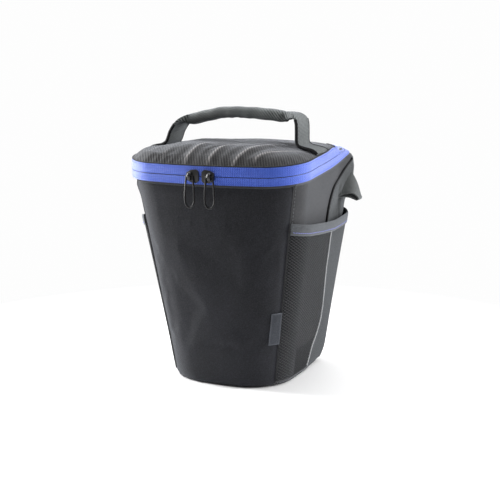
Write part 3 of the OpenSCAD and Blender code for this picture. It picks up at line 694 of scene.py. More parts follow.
# ---------------------------------------------------------------- finishes
class Wire:
    """An output socket that can be used in sums."""

    def __init__(self, bench: "Bench", socket: Any) -> None:
        """Wraps a socket of a bench's node tree."""
        self.bench, self.socket = bench, socket

    def _sum(self, operation: str, a: Any, b: Any = 0.0) -> "Wire":
        """Adds a Math node."""
        return self.bench.node("ShaderNodeMath", {"operation": operation}, {0: a, 1: b})

    def __add__(self, other: Any) -> "Wire":
        """self + other."""
        return self._sum("ADD", self, other)

    __radd__ = __add__

    def __sub__(self, other: Any) -> "Wire":
        """self - other."""
        return self._sum("SUBTRACT", self, other)

    def __rsub__(self, other: Any) -> "Wire":
        """other - self."""
        return self._sum("SUBTRACT", other, self)

    def __mul__(self, other: Any) -> "Wire":
        """self * other."""
        return self._sum("MULTIPLY", self, other)

    __rmul__ = __mul__

    def __truediv__(self, other: Any) -> "Wire":
        """self / other."""
        return self._sum("DIVIDE", self, other)

    def sine(self) -> "Wire":
        """Sine of the value."""
        return self._sum("SINE", self)

    def size(self) -> "Wire":
        """Absolute value."""
        return self._sum("ABSOLUTE", self)

    def over(self, low: float, high: float) -> "Wire":
        """0 below low, 1 above high and straight between."""
        return self.bench.node("ShaderNodeMapRange", {"clamp": True},
                               {"Value": self, "From Min": low, "From Max": high})


class Bench:
    """Where one material is put together."""

    def __init__(self, name: str) -> None:
        """Starts an empty material of that name."""
        self.material = bpy.data.materials.new(name)
        self.material.use_nodes = True
        self.tree = self.material.node_tree
        self.tree.nodes.clear()

    def node(self, kind: str, settings: Optional[dict[str, Any]] = None, inputs: Optional[dict[Any, Any]] = None,
             out: Any = 0) -> Wire:
        """Adds a node.

        Args:
            kind: Blender's name of the node type.
            settings: Properties set before the sockets; "stops" holds a ramp's positions and colours.
            inputs: Values or wires by socket name or number.
            out: Name or number of the output.

        Returns:
            The output as a wire.
        """
        node = self.tree.nodes.new(kind)
        for key, value in (settings or {}).items():
            if key == "stops":
                ramp = node.color_ramp
                for element, (position, colour) in zip(ramp.elements, value):
                    element.position, element.color = position, (*colour, 1)
            else:
                setattr(node, key, value)
        for key, value in (inputs or {}).items():
            socket = node.inputs[key]
            if isinstance(value, Wire):
                self.tree.links.new(value.socket, socket)
            elif isinstance(value, tuple) and len(value) == 3 and socket.type == "RGBA":
                socket.default_value = (*value, 1)
            else:
                socket.default_value = value
        return Wire(self, node.outputs[out])

    def mix(self, share: Any, a: Any, b: Any, way: str = "MIX") -> Wire:
        """Mixes two colours by a share."""
        return self.node("ShaderNodeMix", {"data_type": "RGBA", "blend_type": way, "clamp_factor": True},
                         {0: share, 6: a, 7: b}, out=2)

    def grain(self, per_metre: float, detail: float = 2.0, where: Optional[Wire] = None) -> Wire:
        """Even noise between 0 and 1 at so many lumps to the metre."""
        where = where or self.node("ShaderNodeTexCoord", out="Object")
        return self.node("ShaderNodeTexNoise", {}, {"Vector": where, "Scale": per_metre, "Detail": detail},
                         out=0)

    def weave(self) -> tuple[Wire, Wire]:
        """Place in the cloth in metres, across and up."""
        uv = self.node("ShaderNodeUVMap", {"uv_map": WEAVE_MAP})
        split = self.node("ShaderNodeSeparateXYZ", {}, {0: uv})
        node = split.socket.node
        return Wire(self, node.outputs[0]), Wire(self, node.outputs[1])

    def wear_and_highlight(self) -> Wire:
        """How worn the cloth is; on the lid's cover, how strongly the painted highlight lies on the fold crests."""
        return self.node("ShaderNodeAttribute", {"attribute_name": WEAR}, out="Fac")

    def bump(self, height: Wire, deep: float, strength: float = 1.0) -> Wire:
        """Surface relief from a height between 0 and 1, deep in millimetres."""
        return self.node("ShaderNodeBump", {}, {"Height": height, "Distance": deep * MM, "Strength": strength})

    def close(self, varying: dict[str, Any], constant: dict[str, Any]) -> bpy.types.Material:
        """Adds the shader and the output.

        Args:
            varying: Wires or values of the sockets that may change over the surface.
            constant: Values of the other sockets.

        Returns:
            The finished material.
        """
        shader = self.node("ShaderNodeBsdfPrincipled", {}, {**varying, **constant})
        self.node_output(shader)
        return self.material

    def node_output(self, shader: Wire) -> None:
        """Links a shader to the material's surface."""
        out = self.tree.nodes.new("ShaderNodeOutputMaterial")
        self.tree.links.new(shader.socket, out.inputs["Surface"])


class Weave(Enum):
    """How a cloth is woven."""

    PLAIN = "plain"
    TWILL = "twill"
    RIB = "rib"
    HERRINGBONE = "herringbone"
    WEBBING = "webbing"


@dataclass(frozen=True)
class ClothFinish:
    """A woven cloth.

    Attributes:
        name: Name of the material.
        dark: Colour between the threads.
        light: Colour on top of the threads.
        weave: Kind of weave.
        pitch: Width of a thread pair in millimetres.
        relief: Height of the weave in millimetres.
        thread_share: How much the weave changes the colour.
        speckle: How much single fibres catch the light.
        cloud: How much the colour drifts over the piece.
        worn: How much the borders are lighter; on the lid's cover, where the attribute marks the fold crests, how much
            painted highlight brightens them.
        roughness: Roughness of the fibres.
        sheen: Strength of the fuzz that catches grazing light.
        sheen_tint: Colour of the fuzz.
        crest_highlight: Colour of the painted highlight on the thread tops of the fold crests, if it differs from
            light.
    """

    name: str
    dark: Colour
    light: Colour
    weave: Weave = Weave.PLAIN
    pitch: float = 1.0
    relief: float = 0.12
    thread_share: float = 0.4
    speckle: float = 0.5
    cloud: float = 0.25
    worn: float = 0.35
    roughness: float = 0.85
    sheen: float = 0.25
    sheen_tint: Colour = (0.85, 0.9, 1.0)
    # Painted highlight colour laid on the lid's fold crests.
    crest_highlight: Optional[Colour] = None

    def threads(self, bench: Bench) -> Wire:
        """Height of the threads between 0 and 1."""
        u, v = bench.weave()
        turn = 2 * math.pi / (self.pitch * MM)
        x, y = u * turn, v * turn
        if self.weave is Weave.PLAIN:
            return x.sine() * y.sine() * 0.5 + 0.5
        if self.weave is Weave.TWILL:
            return ((x + y).sine() * 0.88 + (x - y).sine() * 0.12) * 0.5 + 0.5
        if self.weave is Weave.RIB:
            return (x * 0.82 + y * 0.57).sine() * 0.5 + 0.5
        if self.weave is Weave.HERRINGBONE:
            return (x + (y * 0.5).sine().size() * 3.0).sine() * 0.5 + 0.5
        return (y.sine() * (x * 0.5).sine() * 0.6 + (x + y * 0.3).sine() * 0.4) * 0.5 + 0.5

    def material(self) -> bpy.types.Material:
        """Builds the material."""
        bench = Bench(self.name)
        threads = self.threads(bench)
        fibre = bench.grain(1100, 2).over(0.38, 0.72)
        lump = bench.grain(260, 3)
        cloud = bench.grain(22, 3).over(0.3, 0.7)
        # Worn borders lighten the threads; on the lid's cover the attribute marks the fold crests, so there this is
        # painted highlight.
        share = (threads * self.thread_share + fibre * self.speckle + (cloud - 0.5) * self.cloud
                 + (lump - 0.5) * 0.3 + bench.wear_and_highlight() * (threads * 0.7 + 0.3) * self.worn)
        colour = bench.mix(share.over(0.0, 1.4), self.dark, self.light)
        # Painted highlight: thread tops on the marked fold crests are mixed towards a light colour.
        if self.crest_highlight:
            colour = bench.mix(bench.wear_and_highlight() * (threads * 0.65 + 0.35), colour, self.crest_highlight)
        height = threads * 0.7 + fibre * 0.3
        return bench.close(
            {"Base Color": colour, "Roughness": (lump - 0.5) * 0.12 + self.roughness,
             "Normal": bench.bump(height, self.relief)},
            {"Sheen Weight": self.sheen, "Sheen Roughness": 0.45, "Sheen Tint": (*self.sheen_tint, 1.0),
             "Specular IOR Level": 0.3})


@dataclass(frozen=True)
class HardFinish:
    """Metal or moulded plastic.

    Attributes:
        name: Name of the material.
        dark: Colour in the hollows.
        light: Colour of worn places.
        metallic: 1 for bare metal, 0 for plastic.
        roughness: Roughness of the surface.
        coat: Strength of a clear coat.
        rub: How much of the surface is worn.
    """

    name: str
    dark: Colour
    light: Colour
    metallic: float = 0.0
    roughness: float = 0.35
    coat: float = 0.0
    rub: float = 0.3

    def material(self) -> bpy.types.Material:
        """Builds the material."""
        bench = Bench(self.name)
        fine = bench.grain(1500, 3)
        patch = bench.grain(240, 4).over(0.45, 0.75)
        colour = bench.mix(patch * self.rub + fine * 0.15, self.dark, self.light)
        return bench.close(
            {"Base Color": colour, "Metallic": self.metallic,
             "Roughness": patch * 0.14 + fine * 0.06 + self.roughness,
             "Normal": bench.bump(fine, 0.02, 0.15)},
            {"Coat Weight": self.coat, "Coat Roughness": 0.08})


@dataclass(frozen=True)
class ThreadFinish:
    """Sewing thread, yarn or cut foam: fine lumps of one colour."""

    name: str
    dark: Colour
    light: Colour
    per_metre: float = 2600.0
    relief: float = 0.08

    def material(self) -> bpy.types.Material:
        """Builds the material."""
        bench = Bench(self.name)
        fine, soft = bench.grain(self.per_metre, 2), bench.grain(self.per_metre / 12, 2)
        colour = bench.mix(fine * 0.7 + soft * 0.4 - 0.05, self.dark, self.light)
        return bench.close({"Base Color": colour, "Roughness": soft * 0.1 + 0.7,
                            "Normal": bench.bump(fine, self.relief)},
                           {"Sheen Weight": 0.15, "Specular IOR Level": 0.3})


class Finishes:
    """All finishes of the bag, each built once."""

    def __init__(self) -> None:
        """Mixes every finish."""
        self.front = ClothFinish("front cloth", srgb(11, 12, 15), srgb(51, 52, 59), pitch=1.1, speckle=0.5,
                                 sheen=0.1).material()
        self.side = ClothFinish("side cloth", srgb(30, 30, 32), srgb(77, 77, 78), pitch=1.2,
                                speckle=0.5).material()
        self.wing = ClothFinish("wing cloth", srgb(36, 38, 39), srgb(88, 91, 91), pitch=1.2).material()
        self.back = ClothFinish("back cloth", srgb(24, 25, 28), srgb(66, 67, 71), pitch=1.6, relief=0.2).material()
        self.base = ClothFinish("base cloth", srgb(22, 22, 24), srgb(60, 61, 63), pitch=1.8, relief=0.25,
                                roughness=0.7).material()
        self.lining = ClothFinish("lining cloth", srgb(56, 58, 63), srgb(104, 107, 113), pitch=0.9, relief=0.05,
                                  roughness=0.6, speckle=0.2, sheen=0.1).material()
        # The lid's crest colour and worn share paint a highlight onto its fold crests.
        self.lid = ClothFinish("ribbed lid cloth", srgb(10, 10, 10), srgb(72, 70, 70), Weave.RIB, pitch=2.2,
                               relief=0.36, thread_share=0.6, speckle=0.25, cloud=0.3, worn=0.5,
                               crest_highlight=srgb(150, 147, 147)).material()
        self.tape = ClothFinish("blue zip tape", srgb(24, 56, 162), srgb(98, 134, 240), Weave.HERRINGBONE,
                                pitch=2.1, relief=0.22, thread_share=0.55, speckle=0.4, worn=0.12, cloud=0.2,
                                roughness=0.55, sheen=0.9, sheen_tint=(0.88, 0.91, 1.0)).material()
        self.webbing = ClothFinish("handle twill", srgb(14, 16, 16), srgb(124, 128, 127), Weave.TWILL, pitch=3.1,
                                   relief=0.5, thread_share=0.95, speckle=0.25, worn=-0.25).material()
        self.strap = ClothFinish("strap webbing", srgb(20, 20, 22), srgb(70, 71, 74), Weave.WEBBING, pitch=1.9,
                                 relief=0.3, thread_share=0.55).material()
        self.ear = ClothFinish("ear cloth", srgb(46, 48, 48), srgb(98, 101, 100), pitch=1.2).material()
        self.binding = ClothFinish("elastic binding", srgb(50, 52, 55), srgb(100, 103, 106), Weave.WEBBING,
                                   pitch=1.3, relief=0.15).material()
        self.gusset = ClothFinish("pocket cloth", srgb(30, 32, 34), srgb(72, 75, 77), pitch=1.1, sheen=0.12).material()
        # Painted shade: near-black sheet standing for the shaded inside of the pocket, seen through the net.
        self.shade_behind_net = ClothFinish("cloth behind the net", srgb(10, 10, 12), srgb(36, 36, 39),
                                      pitch=1.0).material()
        self.label = ClothFinish("label cloth", srgb(24, 28, 36), srgb(96, 100, 108), pitch=0.7, relief=0.05,
                                 roughness=0.55, worn=0.9, speckle=0.2, thread_share=0.2, sheen=0.05).material()
        self.black = ClothFinish("black binding", srgb(9, 9, 10), srgb(38, 38, 41), pitch=0.8, relief=0.06,
                                 sheen=0.1).material()
        self.net = ThreadFinish("net yarn", srgb(32, 33, 35), srgb(74, 75, 78)).material()
        self.welt = ClothFinish("worn welt", srgb(140, 142, 144), srgb(196, 198, 200), pitch=0.9).material()
        self.dark_thread = ThreadFinish("dark thread", srgb(26, 26, 28), srgb(62, 62, 66)).material()
        self.grey_thread = ThreadFinish("grey thread", srgb(72, 74, 77), srgb(128, 130, 134)).material()
        self.violet_thread = ThreadFinish("violet thread", srgb(92, 98, 180), srgb(150, 156, 226)).material()
        self.blue_thread = ThreadFinish("blue thread", srgb(30, 52, 160), srgb(90, 120, 230)).material()
        self.enamel = HardFinish("black slider enamel", srgb(9, 9, 11), srgb(34, 35, 39), roughness=0.3,
                                 coat=0.3).material()
        self.wire = HardFinish("gunmetal wire", srgb(9, 9, 10), srgb(44, 45, 49), metallic=0.3,
                               roughness=0.32, rub=0.15).material()
        self.nylon = HardFinish("zip nylon", srgb(12, 13, 18), srgb(44, 46, 58), roughness=0.4).material()


def dress(piece: Mesh, finish: bpy.types.Material) -> Mesh:
    """Gives a piece its material."""
    piece.data.materials.clear()
    piece.data.materials.append(finish)
    return piece


def note(piece: Mesh, body: str, *nodes: str) -> Mesh:
    """Lets a finished piece ride on its body, stand for CAD nodes and be reported.

    Args:
        piece: The finished piece.
        body: Body it moves with.
        *nodes: CAD nodes it stands for.

    Returns:
        The piece.
    """
    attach(piece, body)
    if nodes:
        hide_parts(*nodes)
    LOG.info("%s on %s, %d faces", piece.name, body, len(piece.data.polygons))
    return piece


def sheet_size(columns: Sequence[float], rows: Sequence[float], place: Place) -> tuple[float, float, float]:
    """Flat size of a cloth surface.

    Args:
        columns: Column parameters of the surface.
        rows: Row parameters of the surface.
        place: Point in millimetres for a column and a row.

    Returns:
        Width, length and area in metres.
    """
    grid = [[place(a, b) for b in rows] for a in columns]
    width = max(sum((grid[i + 1][j] - grid[i][j]).length for i in range(len(columns) - 1))
                for j in range(len(rows)))
    length = max(sum((grid[i][j + 1] - grid[i][j]).length for j in range(len(rows) - 1))
                 for i in range(len(columns)))
    area = 0.0
    for i in range(len(columns) - 1):
        for j in range(len(rows) - 1):
            a, b, c, d = grid[i][j], grid[i + 1][j], grid[i + 1][j + 1], grid[i][j + 1]
            area += ((b - a).cross(c - a).length + (c - a).cross(d - a).length) / 2
    return width * MM, length * MM, area * MM * MM


def declare_sheet(piece: Mesh, columns: Sequence[float], rows: Sequence[float], place: Place) -> None:
    """Logs the flat size of the surface that a sheet of cloth was cut for."""
    width, length, area = sheet_size(columns, rows, place)
    min(area, width * length)
    LOG.info("%s is cut %.0f x %.0f mm", piece.name, width / MM, length / MM)


# ---------------------------------------------------------------- tub
@dataclass
class Tub:
    """Padded tub: outer panels, base, lining, rim edging and the seams between the panels."""

    finishes: Finishes
    bulge: float = 0.9
    crease: float = 0.7
    crease_w: float = 3.2
    seam_r: float = 0.55

    def front_relief(self, u: float, t: float) -> float:
        """How far the front cloth stands out."""
        s = SHAPE
        inner = clamp01((s.seam_u - abs(u)) / s.seam_u)
        up = math.sin(math.pi * clamp01(t / s.t_ledge_low)) if t < s.t_ledge_low else 0.0
        soft = math.sin(7.3 * t + 1.1 * u) * math.sin(3.1 * u + 2.0 * t)
        near = hump((s.seam_u - abs(u)) * 50, self.crease_w)
        under = hump((t - s.t_ledge_low) * s.rim_h, 5.0) if t <= s.t_ledge_low else 0.0
        return up * (self.bulge * math.sin(math.pi / 2 * inner) + 0.45 * soft) - self.crease * near * up \
            - 0.6 * under

    def side_relief(self, u: float, t: float) -> float:
        """How far the side cloth stands out; the pocket lies close to it low down."""
        s, v = SHAPE, abs(u)
        near = hump((v - s.seam_u) * 50, self.crease_w) + hump((s.back_seam_u - v) * 50, self.crease_w)
        high = smooth((t * s.rim_h - 158) / 12) * (1 - smooth((t - s.t_ledge_low + 0.03) / 0.03))
        soft = 0.5 * math.sin(2.6 * v + 9 * t) * math.sin(12 * t)
        return high * (0.3 + soft) * smooth((v - 1.7) / 0.2) * (1 - smooth((v - 2.3) / 0.2)) \
            - self.crease * near * (1 if t < s.t_ledge_low else 0)

    def back_relief(self, u: float, t: float) -> float:
        """How far the back cloth sinks in beside its seams."""
        return -self.crease * hump((abs(u) - SHAPE.back_seam_u) * 50, self.crease_w) \
            * (1 if t < SHAPE.t_ledge_low else 0)

    def rows(self) -> list[float]:
        """Height shares of a wall panel's rows, close together at the base and the ledge."""
        s = SHAPE
        return steps(s.t_skin, 0.03, 5)[:-1] + steps(0.03, s.t_ledge_low - 0.02, 62)[:-1] \
            + steps(s.t_ledge_low - 0.02, s.t_ledge_low, 3)[:-1] + steps(s.t_ledge_low, s.t_ledge_top, 3)[:-1] \
            + steps(s.t_ledge_top, s.t_wall_top, 3)

    def panel(self, name: str, across: Sequence[float], relief: Callable[[float, float], float]) -> Mesh:
        """One wall panel without its thickness."""
        return cloth(name, across, self.rows(), lambda u, t: SHAPE.skin_point(u, t, relief(u, t)), edge=5)

    def seam(self, name: str, u: float, low: float, high: float) -> None:
        """A welt in the seam at station u and a row of stitches beside it."""
        s = SHAPE
        path = [s.skin_point(u, t, -0.25) for t in steps(low, high, 60)]
        welt = dress(tube(name, path, lambda k: (self.seam_r, self.seam_r), 10, (1, 0, 0)),
                     self.finishes.side)
        note(welt, "bag")
        relief = self.side_relief if abs(u) < 2 else self.back_relief
        away = math.copysign(2.4 / 50, u)
        row = sew(name + "_stitches",
                  lambda k, h: s.skin_point(u + away, lerp(low, high, k), h + relief(u + away, lerp(low, high, k))),
                  3.2, 2.5, 0.55)
        note(dress(row, self.finishes.grey_thread), "bag")

    def build(self) -> list[SettlingJob]:
        """Builds the front panel and returns it, as it still swells."""
        s = SHAPE
        front = self.panel("front_cover", steps(-s.seam_u, s.seam_u, 92), self.front_relief)
        self.front = front

        def sewn(p: Vector) -> float:
            """Held at the seams, the base and under the zip band."""
            z = (p.z - 8) / (s.rim_h - 34)
            edge = min(smooth((z - 0.0) * 5), smooth((1 - z) * 5))
            side = smooth((s.half_w(clamp01(p.z / s.rim_h)) - abs(p.x)) / 14)
            return 1 - edge * side
        return [SettlingJob(front, sewn, 0.6, 0.001, 0.6)]

    def finish(self) -> None:
        """Dresses the front after it has settled and builds the rest of the tub."""
        s, f = SHAPE, self.finishes
        apply_modifier(self.front, "SOLIDIFY", thickness=s.skin * MM, offset=-1.0)
        note(dress(self.front, f.front), "bag", "front_panel")
        for side, sign in (("right", 1), ("left", -1)):
            across = steps(s.seam_u, s.back_seam_u, 62) if sign > 0 else steps(-s.back_seam_u, -s.seam_u, 62)
            piece = self.panel(f"side_cover_{side}", across, self.side_relief)
            apply_modifier(piece, "SOLIDIFY", thickness=s.skin * MM, offset=-1.0)
            note(dress(piece, f.side), "bag", f"side_panel_{side}")
            self.seam(f"front_seam_{side}", sign * s.seam_u, 0.004, s.t_ledge_low)
            self.seam(f"back_seam_{side}", sign * s.back_seam_u, 0.004, s.t_ledge_low)
        back_u = steps(s.back_seam_u, 5, 30) + [-u for u in steps(5, s.back_seam_u, 30)[1:]]
        back = self.panel("back_cover", back_u, self.back_relief)
        apply_modifier(back, "SOLIDIFY", thickness=s.skin * MM, offset=-1.0)
        note(dress(back, f.back), "bag", "back_panel")
        self.base()
        self.inside()

    def ring(self, n: int = 40) -> list[float]:
        """Stations once round the bag, starting and ending at the middle of the front."""
        return steps(0, 5, n) + [-u for u in steps(5, 0, n)[1:]]

    def base(self) -> None:
        """The base cloth, flat where it rests, with its piped edge."""
        s = SHAPE

        def place(u: float, r: float) -> Vector:
            """Base cloth from its middle, r = 0, to its upturned edge, r above 1."""
            if r <= 1:
                p = s.skin_point(u, 0, -0.6)
                return Vector((p.x * r, p.y * r, 0.15 * (1 - r)))
            return s.skin_point(u, s.t_skin * (r - 1), 0)
        base = cloth("base_cover", self.ring(), [0.0, 0.2, 0.4, 0.6, 0.8, 0.92, 1.0, 1.3, 1.6, 2.0], place,
                     thick=0.0, wrap=True)
        apply_modifier(base, "SOLIDIFY", thickness=1.0 * MM, offset=-1.0)
        note(dress(base, self.finishes.base), "bag", "base_panel")
        path = [s.skin_point(u, s.t_skin, -0.55) for u in self.ring(60)[:-1]]
        piping = tube("base_piping", path, lambda k: (0.9, 0.9), 8, (0, 0, 1), closed=True)
        note(dress(piping, self.finishes.black), "bag")

    def inside(self) -> None:
        """Lining of the tub and the edging over the top of its padded wall."""
        s, f = SHAPE, self.finishes
        off, floor_t = 7.3, 8.0 / s.rim_h

        def place(u: float, r: float) -> Vector:
            """Lining from the middle of the floor up to the rim."""
            if r <= 1:
                p = s.wall(u, floor_t, s.inside)
                return Vector((p.x * r, p.y * r, p.z))
            t = lerp(floor_t, s.t_wall_top - 0.002, r - 1)
            return s.wall(u, t, s.inside)
        rows = [0.0, 0.25, 0.5, 0.75, 0.94, 1.0] + steps(1, 2, 40)[1:]
        lining = cloth("tub_lining", self.ring()[::-1], rows, place, wrap=True)
        apply_modifier(lining, "SOLIDIFY", thickness=0.7 * MM, offset=-1.0)
        note(dress(lining, f.lining), "bag", "lining")

        def edging(u: float, r: float) -> Vector:
            """Edging from outside, over the top of the foam, to the inside."""
            t, o = s.t_wall_top, lerp(1.25, off + 0.9, clamp01((r - 1) / 6))
            drop = 3.0 * max(0, 1 - r) + 3.0 * max(0, r - 7)
            p = s.wall(u, t, o)
            return Vector((p.x, p.y, p.z - drop - 0.25 * (abs(r - 4) / 3) ** 4))
        strip = cloth("rim_edging", self.ring(), [float(i) for i in range(9)], edging, wrap=True)
        apply_modifier(strip, "SOLIDIFY", thickness=0.5 * MM, offset=-1.0)
        note(dress(strip, f.black), "bag", "foam_front", "foam_left", "foam_right", "foam_back",
             "foam_base")


# ---------------------------------------------------------------- zip
@dataclass
class ZipBand:
    """Both halves of the zip tape, with their sewing, and the teeth."""

    finishes: Finishes
    ridge: float = 0.3
    ridge_w: float = 2.6

    def relief(self, v: float) -> float:
        """Swelling over the teeth for a distance v from the zip line, and the groove of the sewing."""
        return self.ridge * (1 - smooth((v - self.ridge_w) / 1.2)) - 0.22 * hump(v - 7.2, 0.5)

    def lower(self, u: float, v: float) -> Vector:
        """Outer face of the lower tape, v millimetres below the zip line."""
        s = SHAPE
        t = lerp(s.t_tape_top, s.t_ledge_top, v / s.tape_w)
        return s.band(u, t, s.tape_t * 0.6 + self.relief(v))

    def upper(self, u: float, v: float) -> Vector:
        """Outer face of the upper tape, v millimetres above the zip line."""
        return SHAPE.upper_band(u, v / SHAPE.tape_w, SHAPE.tape_t * 0.6 + self.relief(v))

    def build(self) -> None:
        """Builds the tapes and their stitches and dresses the teeth."""
        s, f = SHAPE, self.finishes
        across = steps(-s.zip_end_u, s.zip_end_u, 260)
        rows = [9.0, 8.6, 8.0, 7.6, 7.2, 6.8, 6.0, 4.8, 3.8, 3.0, 2.0, 1.0, 0.35, 0.0]
        low = cloth("zip_tape_low", across, rows, self.lower, thick=0.5, degrees=60)
        note(dress(low, f.tape), "bag", "zip_tape_lower")
        high = cloth("zip_tape_high", across, rows[::-1], self.upper, thick=0.5, degrees=60)
        note(dress(high, f.tape), "lid", "zip_tape_upper")
        ends = s.zip_end_u * 0.995
        for name, side, body in (("low", self.lower, "bag"), ("high", self.upper, "lid")):
            row = sew(f"zip_tape_{name}_stitches", lambda k, h, g=side: self.off(g, lerp(-ends, ends, k), 7.2, h),
                      2.6, 2.0, 0.5)
            note(dress(row, f.blue_thread), body)
        for node in ("zip_teeth_lower", "zip_teeth_upper"):
            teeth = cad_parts[node]
            dress(teeth, f.nylon)

    def off(self, side: Place, u: float, v: float, h: float) -> Vector:
        """Point h above a tape's face."""
        p = side(u, v)
        q = SHAPE.lean(u)
        x0, y0 = SHAPE.plan(u, 1, 0)
        x1, y1 = SHAPE.plan(u, 1, -1)
        return p + Vector(((x1 - x0) * math.cos(q), (y1 - y0) * math.cos(q), math.sin(q))) * h


# ---------------------------------------------------------------- lid
@dataclass
class Lid:
    """Padded lid: ribbed cover with its folds, lining, edging and the cloth hinge at the back."""

    finishes: Finishes
    fold_h: float = 1.0
    fold_w: float = 2.5
    crest_w: float = 1.1
    shoulder: float = 2.4
    folds: tuple[tuple[float, float, float, float, float], ...] = (
        (-42, -84, -42, -52, 0.3), (-17.5, -88, -5, -24, 1.0), (4.5, -89, 23, -25, 1.0), (29, -88, 57, -20, 1.0),
        (47, -83, 80, -26, 0.9), (-60, -76, -60, -50, 0.3))

    def fold_relief(self, x: float, y: float) -> tuple[float, float]:
        """Height of the folds that run back from the front edge, and the share of painted highlight on their crests.
        """
        total = crest_highlight = 0.0
        for x0, y0, x1, y1, tall in self.folds:
            dx, dy = x1 - x0, y1 - y0
            size = math.hypot(dx, dy)
            along = ((x - x0) * dx + (y - y0) * dy) / size
            across = ((x - x0) * dy - (y - y0) * dx) / size
            k = along / size
            fade = smooth((k + 0.04) / 0.12) * (1 - smooth((k - 0.35) / 0.75))
            total += tall * fade * (hump(across, self.fold_w) - 0.45 * hump(across - 7.5, self.fold_w)
                                    - 0.45 * hump(across + 7.5, self.fold_w))
            # Share of painted highlight along each fold crest.
            crest_highlight += tall * fade * hump(across, self.crest_w)
        return total * self.fold_h, min(1.0, crest_highlight)

    def cover_point(self, u: float, k: float) -> Vector:
        """Outer face of the cover; k above 1 runs down behind the tape."""
        s = SHAPE
        if k > 1:
            return s.lid_shoulder(u, 0.15).lerp(s.lid_edge(u, 0.15), k - 1) - Vector((0, 0, s.edge_sink(u) * (k - 1)))
        p = s.lid_crown(u, k, 0)
        calm = smooth((62 - abs(p.x)) / 12) * smooth((1 - k) / 0.05)
        gather = 0.3 * math.sin(abs(u) * 34 + 2 * math.sin(u * 5)) * hump((1 - k) * 60, 6) * (1 - s.rearness(u))
        slack = 0.9 * math.sin(p.x / 17 + 1.3) * math.sin(p.y / 21 + p.x / 60) * smooth((1 - k) / 0.3)
        full = self.shoulder * hump(k - 0.88, 0.08) * smooth((-33 - p.y) / 12) \
            * (0.35 + 0.65 * smooth((-p.x - 20) / 40))
        return p + Vector((0, 0, (self.fold_relief(p.x, p.y)[0] + slack * 0.8) * calm + full
                           + gather * smooth((1 - k) / 0.02)))

    def build(self) -> list[SettlingJob]:
        """Builds the cover, which still settles."""
        around = steps(0, 5, 130) + [-u for u in steps(5, 0, 130)[1:]]
        rows = [1.999, 1.6, 1.3, 1.08, 1.0, 0.985, 0.965, 0.94, 0.91, 0.88] + steps(0.85, 0.0, 34)
        self.cover = cloth("lid_cover", around, rows, self.cover_point, wrap=True)
        self.flat_uv(self.cover)
        # The cover's attribute holds only the painted highlight on the fold crests, replacing its worn borders.
        lay_wear_and_highlight(self.cover, [self.fold_relief(v.co.x / MM, v.co.y / MM)[1] for v in self.cover.data.vertices])

        def sewn(p: Vector) -> float:
            """Held round the zip band and under the handle's tabs."""
            s = SHAPE
            free = smooth((p.z - s.rim_z(p.y) - 9) / 4) * smooth((64 - abs(p.x)) / 10) * smooth((44 - p.y) / 10)
            return 1 - free
        return [SettlingJob(self.cover, sewn, 1.2, 0.006, 1.4)]

    @staticmethod
    def flat_uv(piece: Mesh) -> None:
        """Lays the weave as on one flat cut of cloth seen from above."""
        lay_uv(piece, [(v.co.x, v.co.y) for v in piece.data.vertices])

    def finish(self) -> None:
        """Dresses the cover and builds the lining, edging, welt and hinge."""
        s, f = SHAPE, self.finishes
        apply_modifier(self.cover, "SOLIDIFY", thickness=0.9 * MM, offset=-1.0)
        soft_shade(self.cover, 70)
        note(dress(self.cover, f.lid), "lid", "lid_top", "lid_foam")
        around = steps(0, 5, 60) + [-u for u in steps(5, 0, 60)[1:]]
        deep = 5.6

        def lining(u: float, k: float) -> Vector:
            """Face of the lid's lining that shows when the lid is open."""
            if k > 1:
                return s.lid_shoulder(u, deep).lerp(s.lid_edge(u, deep), k - 1)
            return s.lid_crown(u, k, deep)
        piece = cloth("lid_inside", around, [1.97, 1.5, 1.0, 0.93, 0.82, 0.7, 0.5, 0.35, 0.15, 0.0], lining,
                      wrap=True)
        self.flat_uv(piece)
        apply_modifier(piece, "SOLIDIFY", thickness=0.6 * MM, offset=1.0)
        note(dress(piece, f.lining), "lid", "lid_lining")

        def edging(u: float, r: float) -> Vector:
            """Edging under the lid's rim, from the cover to the lining."""
            p = s.lid_edge(u, lerp(0.4, deep + 0.1, r))
            return Vector((p.x, p.y, p.z + 0.5 - 0.4 * math.sin(math.pi * r) ** 0.5 - s.edge_sink(u)))
        strip = cloth("lid_edging", around[::-1], steps(0, 1, 8), edging, wrap=True)
        apply_modifier(strip, "SOLIDIFY", thickness=0.4 * MM, offset=-1.0)
        note(dress(strip, f.black), "lid")
        path = [s.lid_crown(u, 0.9985, -0.1) for u in steps(-s.zip_end_u, s.zip_end_u, 240)]
        welt = tube("lid_welt", path, lambda k: (0.7, 0.7), 8, (0, 0, 1))
        note(dress(welt, f.black), "lid")
        self.hinge()

    def hinge(self) -> None:
        """One strip of cloth from the back over the hinge line onto the lid."""
        s = SHAPE
        half = s.rim_w / 2 - s.rim_rear - 0.5
        foot, top = s.wall(5, s.t_ledge_top, 0), s.wall(5, s.t_wall_top, 0)
        edge, shoulder = s.lid_edge(5, 0), s.lid_shoulder(5, 0)
        out = 0.9
        way = (top - foot).normalized()
        normal = Vector((0, way.z, -way.y))
        profile = rounded_path([foot + normal * 0.5, foot + normal * out, foot.lerp(top, 0.55) + normal * out,
                                Vector((0, edge.y + out + 0.35, s.rim_z(s.rim_back) - 0.1)),
                                edge + Vector((0, out * 0.4, out * 0.8)), shoulder + Vector((0, 0, out)),
                                shoulder + Vector((0, -1.5, 0.35))], 6)

